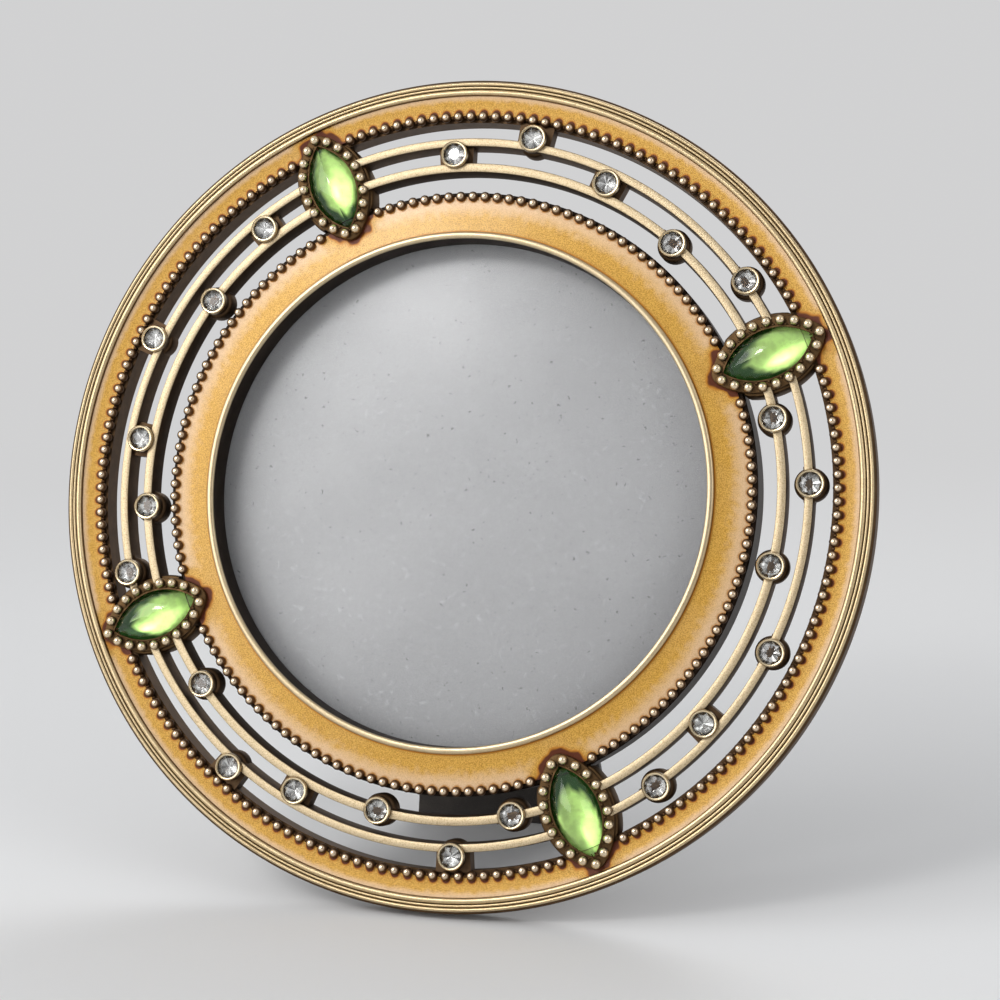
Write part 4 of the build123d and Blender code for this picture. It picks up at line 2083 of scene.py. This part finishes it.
@dataclass(frozen=True)
class WindowStack:
    """The glass, the card and the board, which lie one behind the other in the window."""

    layout: Layout
    glass: Material
    card: Material
    flock: Material
    glass_radius: float = 51.0
    card_radius: float = 50.8
    gap: float = 0.01
    glass_round: float = 0.15
    card_round: float = 0.05
    board_round: float = 0.5

    def build(self, fitter: Fitter) -> None:
        """Makes the three discs and puts them on the frame.

        Args:
            fitter: What sets the pieces in their place.
        """
        size = self.layout
        shapes = (
            (self.glass_radius, size.glass_back, size.ledge, self.glass_round),
            (self.card_radius, size.card_back, size.glass_back - self.gap, self.card_round),
            (self.glass_radius, size.board_back, size.card_back - self.gap, self.board_round),
        )
        looks = (
            ("window_pane", Slot.PANE, self.glass, "glass_pane"),
            ("grey_photo_card", Slot.CARD, self.card, "photo_card"),
            ("flocked_board", Slot.FLOCK, self.flock, "back_board"),
        )
        for shape, (name, slot, material, node) in zip(shapes, looks):
            fitter.fit(Bench.disc(*shape), name, [material], [node])


@dataclass(frozen=True)
class EaselLeg:
    """The flocked leg, drawn folded against the board and then opened on its pin.

    Attributes:
        pin: The height of the pin up the frame and its height above the face.
        opening: The angle by which the leg is open, in degrees.
        length: Its length below the pin along its front.
    """

    stance: Stance
    flock: Material
    pin: Point = (30.0, -12.1)
    opening: float = 27.0
    front: float = -1.9
    thickness: float = 2.0
    top: float = 6.152
    length: float = 106.6
    half_top: float = 14.0
    half_foot: float = 21.0
    waist: float = 2.0
    corner: float = 3.0
    corner_steps: int = 6
    side_steps: int = 24
    edge_round: float = 0.35

    def outline(self) -> list[Point]:
        """Lists the leg's outline: two waisted sides under rounded corners.

        Returns:
            The corners against the clock.
        """
        foot = -self.length - self.thickness
        right = []
        for step in range(self.side_steps + 1):
            share = step / self.side_steps
            half = self.half_foot + (self.half_top - self.half_foot) * share
            half -= self.waist * math.sin(math.pi * share)
            height = foot + (self.top - self.corner - foot) * share
            right.append((half, height))
        for step in range(1, self.corner_steps + 1):
            turn = math.pi / 2 * step / self.corner_steps
            across = self.half_top - self.corner * (1 - math.cos(turn))
            right.append((across, self.top - self.corner * (1 - math.sin(turn))))
        return right + [(-x, y) for x, y in reversed(right)]

    def build(self, fitter: Fitter) -> None:
        """Makes the leg and puts it on its body.

        Args:
            fitter: What sets the pieces in their place.
        """
        leg = Bench.raised(self.outline(), [(self.front - self.thickness, 1.0), (self.front, 1.0)])
        splay = math.radians(self.opening - self.stance.lean)
        Bench.open(leg)
        bpy.ops.mesh.bisect(
            plane_co=(0, -self.length, self.front),
            plane_no=(0, math.cos(splay), -math.sin(splay)),
            clear_inner=True,
            use_fill=True,
        )
        Bench.close(leg)
        Bench.smooth(Bench.bevelled(leg, self.edge_round, Bench.round_steps), Shading.RAISED)
        height, depth = self.pin
        opened = Matrix.Rotation(math.radians(self.opening), 4, "X")
        leg.data.transform(Matrix.Translation((0, height, depth)) @ opened)
        fitter.fit(leg, "flocked_leg", [self.flock], ["easel_leg"], Body.LEG)


@dataclass(frozen=True)
class TurnButtons:
    """The two buttons that hold the board in, with their slotted screws.

    Attributes:
        head_gap: How far a screw's head lies behind its button.
        head_dome: The head's radius, as shares of its full radius, and its depth there.
        slot_reach: The length of the slot's cutter, in radii of the head.
        slot_turns: The angles of the two slots in degrees.
    """

    layout: Layout
    metal: Material
    length: float = 9.0
    width: float = 4.0
    corner: float = 1.1
    edge_round: float = 0.18
    high: float = -10.5
    low: float = -11.4
    head_radius: float = 1.85
    head_top: float = -12.3
    head_gap: float = 0.1
    head_dome: tuple[Point, ...] = ((0.6, 0.05), (0.88, 0.2), (1.0, 0.45))
    head_steps: int = 32
    shank_radius: float = 1.0
    shank_end: float = -7.2
    slot_width: float = 0.5
    slot_depth: float = 0.35
    slot_reach: float = 3.0
    slot_turns: tuple[float, ...] = (24.0, -51.0)

    def button(self) -> Piece:
        """Makes a button with its finger along X from its pivot.

        Returns:
            The button.
        """
        back = -self.width / 2
        front = back + self.length
        half = self.width / 2
        cut = self.corner
        outline = [
            (front - cut, -half), (front, -half + cut), (front, half - cut), (front - cut, half),
            (back + cut, half), (back, half - cut), (back, -half + cut), (back + cut, -half),
        ]
        button = Bench.raised(outline, [(self.low, 1.0), (self.high, 1.0)])
        return Bench.smooth(Bench.bevelled(button, self.edge_round), Shading.RAISED)

    def screw(self, turn: float) -> Piece:
        """Makes a screw with a slot across its domed head.

        Args:
            turn: The angle of the slot in degrees.

        Returns:
            The screw.
        """
        head = self.low - self.head_gap
        section = [
            (Bench.axis, self.head_top),
            *[(self.head_radius * share, self.head_top + down) for share, down in self.head_dome],
            (self.head_radius, head),
            (self.shank_radius, head),
            (self.shank_radius, self.shank_end),
            (Bench.axis, self.shank_end),
        ]
        screw = Bench.turned(section, self.head_steps)
        Bench.clear()
        bpy.ops.mesh.primitive_cube_add(size=1, location=(0, 0, self.head_top))
        tool = bpy.context.object
        Bench.open(tool)
        size = (self.head_radius * self.slot_reach, self.slot_width, self.slot_depth * 2)
        bpy.ops.transform.resize(value=size, center_override=(0, 0, self.head_top))
        Bench.hold(tool)
        bpy.ops.object.transform_apply(location=True, rotation=True, scale=True)
        tool.data.transform(Matrix.Rotation(math.radians(turn), 4, "Z"))
        return Bench.smooth(Bench.carved(screw, tool), Shading.CUT)

    def build(self, fitter: Fitter) -> None:
        """Makes both buttons and screws and puts them on their bodies.

        Args:
            fitter: What sets the pieces in their place.
        """
        size = self.layout
        radius = (size.rebate + size.inner_ring) / 2
        bodies = (Body.BUTTON_RIGHT, Body.BUTTON_LEFT)
        for angle, side, body, turn in zip((0, 180), ("right", "left"), bodies, self.slot_turns):
            place = around(angle, radius) @ Matrix.Rotation(math.pi, 4, "Z")
            button = self.button()
            screw = self.screw(turn)
            for piece in (button, screw):
                piece.data.transform(place)
            fitter.fit(
                button, f"button_{side}", [self.metal], [f"turn_button_{side}"], body
            )
            fitter.fit(screw, f"screw_{side}", [self.metal], [f"button_screw_{side}"])


@dataclass(frozen=True)
class DressedSolids:
    """Solids whose shape is already right and which only get a finish."""

    frame: dict[str, object]

    def dress(self, finish: Material, *nodes: str) -> None:
        """Gives solids their material.

        Args:
            finish: The material.
            nodes: The names of the solids.
        """
        for node in nodes:
            solid = self.frame["nodes"][node]
            solid.data.materials.clear()
            solid.data.materials.append(finish)
            LOG.info("%s dressed in %s", node, finish.name)


# Studio


@dataclass(frozen=True)
class Softbox:
    """A large soft lamp.

    Attributes:
        name: The lamp's name.
        place: Where it hangs, in metres.
        size: Its width and height in metres.
        power: Its power in watts.
    """

    name: str
    place: tuple[float, float, float]
    size: Point
    power: float

    def hang(self, target: Vector) -> None:
        """Hangs the lamp and aims it.

        Args:
            target: The place that it is aimed at.
        """
        data = bpy.data.lights.new(self.name, "AREA")
        data.shape = "RECTANGLE"
        data.size, data.size_y = self.size
        data.energy = self.power
        lamp = bpy.data.objects.new(self.name, data)
        lamp.location = self.place
        aim = target - Vector(self.place)
        lamp.rotation_euler = aim.to_track_quat("-Z", "Y").to_euler()
        bpy.context.scene.collection.objects.link(lamp)


@dataclass(frozen=True)
class Studio:
    """The pale floor, the soft lamps and the camera.

    Attributes:
        camera_place: Where the camera stands, in metres.
        camera_pitch: How far it looks down, in degrees.
        camera_turn: How far it looks to the left, in degrees.
        lens: Its focal length in millimetres.
        sensor: The width of its sensor in millimetres.
        near: How near it sees, in metres.
        backdrop: The colour of the pale surround.
        dim: The colour of the surround low on the right in front.
        bright_side: The direction in which the surround is palest.
        bright_span: Where along that direction it starts to be pale and is pale in full.
        horizon: How far from the horizon it starts to be pale and is pale in full.
        haze: Where the floor starts to run into it and has run into it, in metres.
    """

    camera_place: tuple[float, float, float] = (0.1045, -0.3867, 0.1300)
    camera_pitch: float = 8.17
    camera_turn: float = 14.42
    lens: float = 76.3
    sensor: float = 36.0
    near: float = 0.01
    target: tuple[float, float, float] = (0, 0, 0.075)
    floor_size: float = 20
    floor_colour: Colour = (0.86, 0.86, 0.855)
    floor_wear: float = 0.985
    patch_scale: float = 3.0
    patch_span: Point = (0.3, 0.7)
    backdrop: Colour = (0.64, 0.64, 0.645)
    dim: Colour = (0.12, 0.12, 0.13)
    bright_side: tuple[float, float, float] = (-0.57, 0.44, 0.69)
    bright_span: Point = (-0.8, 0.42)
    horizon: Point = (0.16, 0.07)
    haze: Point = (0.16, 0.75)
    ambient: Colour = (0.86, 0.88, 0.92)
    ambient_strength: float = 0.40
    softboxes: tuple[Softbox, ...] = (
        Softbox("window_light", (-0.70, -0.72, 0.54), (1.0, 1.0), 7.2),
        Softbox("sparkle_light", (-0.30, -0.66, 0.58), (0.16, 0.16), 1.2),
        Softbox("fill_light", (0.8, -0.55, 0.5), (0.6, 0.6), 1.8),
        Softbox("back_light", (0.2, 0.9, 0.9), (0.8, 0.5), 4.0),
    )

    def floor(self) -> None:
        """Lays the pale floor, which runs into the surround away from the object."""
        Bench.clear()
        bpy.ops.mesh.primitive_plane_add(size=self.floor_size, location=(0, 0, 0))
        floor = bpy.context.object
        floor.name = "studio_floor"
        sheet = MaterialSheet("pale_floor")
        worn = tuple(value * self.floor_wear for value in self.floor_colour)
        patch = sheet.ranged(sheet.noise(self.patch_scale, 2), *self.patch_span)
        sheet.feed(Base_Color=sheet.mixed(patch, self.floor_colour, worn))
        sheet.fix(Roughness=0.8)
        away = sheet.add("ShaderNodeVectorMath", operation="LENGTH")
        sheet.link(sheet.place, away.inputs[0])
        far = sheet.ranged(away.outputs["Value"], *self.haze)
        glow = sheet.add("ShaderNodeEmission")
        glow.inputs["Color"].default_value = (*self.backdrop, 1)
        share = sheet.calculated("MULTIPLY", far, sheet.seen())
        sheet.blended(share, sheet.surface.outputs[0], glow.outputs[0], "Material Output")
        floor.data.materials.append(sheet.material)

    def world(self) -> None:
        """Sets an even soft light and the pale surround that metal and glass show."""
        world = bpy.data.worlds.new("studio_surround")
        bpy.context.scene.world = world
        world.use_nodes = True
        sheet = NodeSheet(world.node_tree)
        light = sheet.nodes["Background"]
        light.inputs["Color"].default_value = (*self.ambient, 1)
        light.inputs["Strength"].default_value = self.ambient_strength
        way = sheet.add("ShaderNodeTexCoord").outputs["Generated"]
        side = sheet.ranged(sheet.along(way, self.bright_side), *self.bright_span)
        split = sheet.add("ShaderNodeSeparateXYZ")
        sheet.link(way, split.inputs[0])
        level = sheet.calculated("ABSOLUTE", split.outputs["Z"])
        pale = sheet.calculated("MAXIMUM", side, sheet.ranged(level, *self.horizon))
        shown = sheet.add("ShaderNodeBackground")
        sheet.link(sheet.mixed(pale, self.dim, self.backdrop), shown.inputs["Color"])
        sheet.blended(sheet.seen(), light.outputs[0], shown.outputs[0], "World Output")

    def camera(self) -> None:
        """Stands the camera where the photograph was taken from."""
        data = bpy.data.cameras.new("studio_camera")
        data.sensor_width = self.sensor
        data.lens = self.lens
        data.clip_start = self.near
        camera = bpy.data.objects.new("studio_camera", data)
        camera.location = self.camera_place
        pitch = math.radians(90 - self.camera_pitch)
        camera.rotation_euler = (pitch, 0, math.radians(self.camera_turn))
        bpy.context.scene.collection.objects.link(camera)
        bpy.context.scene.camera = camera

    def build(self) -> None:
        """Sets up the whole studio."""
        self.floor()
        self.world()
        for softbox in self.softboxes:
            softbox.hang(Vector(self.target))
        self.camera()
        bpy.context.scene.view_settings.view_transform = "Standard"


def build_object(frame: dict[str, object]) -> None:
    """Builds and dresses every piece of the object.

    Args:
        frame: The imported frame, as loaded.
    """
    stance = Stance()
    layout = Layout()
    stone = Navette()
    fitter = Fitter(stance)
    # Each gilt finish is bright on top and dark below: rubbing and age, with painted light and
    # painted shade.
    reeded = GiltFinish(
        "gilt_reeds", stance, bright=(0.66, 0.52, 0.31), worn=(0.40, 0.28, 0.14),
        patina_and_shade=(0.085, 0.05, 0.026), bright_height=-0.16, dark_height=-0.58, grain=0.5,
    ).material()
    # The bezel's near-black depths paint the shade on the deep wall of the window.
    bezel = GiltFinish(
        "gilt_bezel", stance, bright=(0.62, 0.50, 0.32), patina_and_shade=(0.03, 0.02, 0.014),
        bright_height=-0.2, dark_height=-0.75,
    ).material()
    barred = GiltFinish(
        "gilt_bars", stance, bright=(0.64, 0.52, 0.34), worn=(0.44, 0.33, 0.19),
        patina_and_shade=(0.09, 0.055, 0.03), bright_height=-0.16, dark_height=-0.45,
        roughness=0.48, grain=0.85,
    ).material()
    beaded = GiltFinish(
        "gilt_beads", stance, bright=(0.84, 0.66, 0.47), patina_and_shade=(0.12, 0.065, 0.032),
        bright_height=-0.03, dark_height=-0.36, roughness=0.2, grain=0.12,
    ).material()
    jewelled = GiltFinish(
        "gilt_jewel_settings", stance, bright=(0.82, 0.68, 0.47), worn=(0.5, 0.36, 0.2),
        patina_and_shade=(0.10, 0.058, 0.026), bright_height=1.08, dark_height=0.1,
        roughness=0.24, grain=0.15,
    ).material()
    cupped = GiltFinish(
        "gilt_cups", stance, bright=(0.80, 0.66, 0.44), patina_and_shade=(0.09, 0.055, 0.03),
        bright_height=0.75, dark_height=-0.4, roughness=0.26, grain=0.2,
    ).material()
    enamel = EnamelFinish().material()
    clear = GlassFinish("crystal_glass", (0.97, 0.98, 0.97), 1.56).material()
    green = GlassFinish("green_glass", (0.76, 0.99, 0.54), 1.52).material()
    # The foils' colours carry painted reflections and painted shade.
    silver = FoilFinish(
        "silver_foil", (0.95, 0.95, 0.94), (0.12, 0.11, 0.10), "painted_glint", 0.25, 0.75
    ).material()
    lime = FoilFinish(
        "lime_foil", (0.80, 1.0, 0.48), (0.008, 0.06, 0.008), "centre", 0.3, 0.6
    ).material()
    metal = GiltFinish(
        "hinge_brass", stance, bright_height=-20.0, dark_height=-40.0, grain=0.2
    ).material()
    flock = FlockFinish().material()

    outer_row = BeadRow(
        layout, stone, beaded, "outer", layout.rim_inner + layout.bead / 2, 2.4, nub_share=0.42
    )
    inner_row = BeadRow(layout, stone, beaded, "inner", layout.inner_ring - layout.bead / 2, 2.35)
    assemblies = (
        Rim(layout, reeded),
        WindowRing(layout, bezel),
        EnamelBand(
            layout, stone, enamel, "outer", layout.channel, outer_row,
            milk_and_sheen_from=1.3, bead_pool_and_shade=0.85, bead_pool_and_shade_shift=0.62, bead_pool_and_shade_depth=1.0,
            ridge_shade_depth=0.0,
        ),
        EnamelBand(
            layout, stone, enamel, "inner", layout.bezel, inner_row,
            milk_and_sheen_from=3.4, bead_pool_and_shade=1.0, bead_pool_and_shade_shift=0.0, bead_pool_and_shade_depth=0.7,
            ridge_shade_depth=0.62,
        ),
        outer_row,
        inner_row,
        OpenworkBar(layout, stone, barred, "outer", layout.outer_bar, layout.outer_bar_width),
        OpenworkBar(layout, stone, barred, "inner", layout.inner_bar, layout.inner_bar_width),
        JewelSetting(layout, stone, jewelled, green, lime),
        CrystalSet(layout, stone, cupped, clear, silver),
        WindowStack(layout, PaneFinish().material(), CardFinish().material(), flock),
        EaselLeg(stance, flock),
        TurnButtons(layout, metal),
    )
    for assembly in assemblies:
        LOG.info("building %s", type(assembly).__name__)
        assembly.build(fitter)
    DressedSolids(frame).dress(metal, "hinge_plate", "hinge_pin", "hinge_leaf")


def main() -> None:
    """Builds the object round the frame and the studio round the object."""
    logging.basicConfig(level=logging.INFO, format="%(name)s: %(message)s")
    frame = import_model()
    build_object(frame)
    Studio().build()


if __name__ == "__main__":
    main()
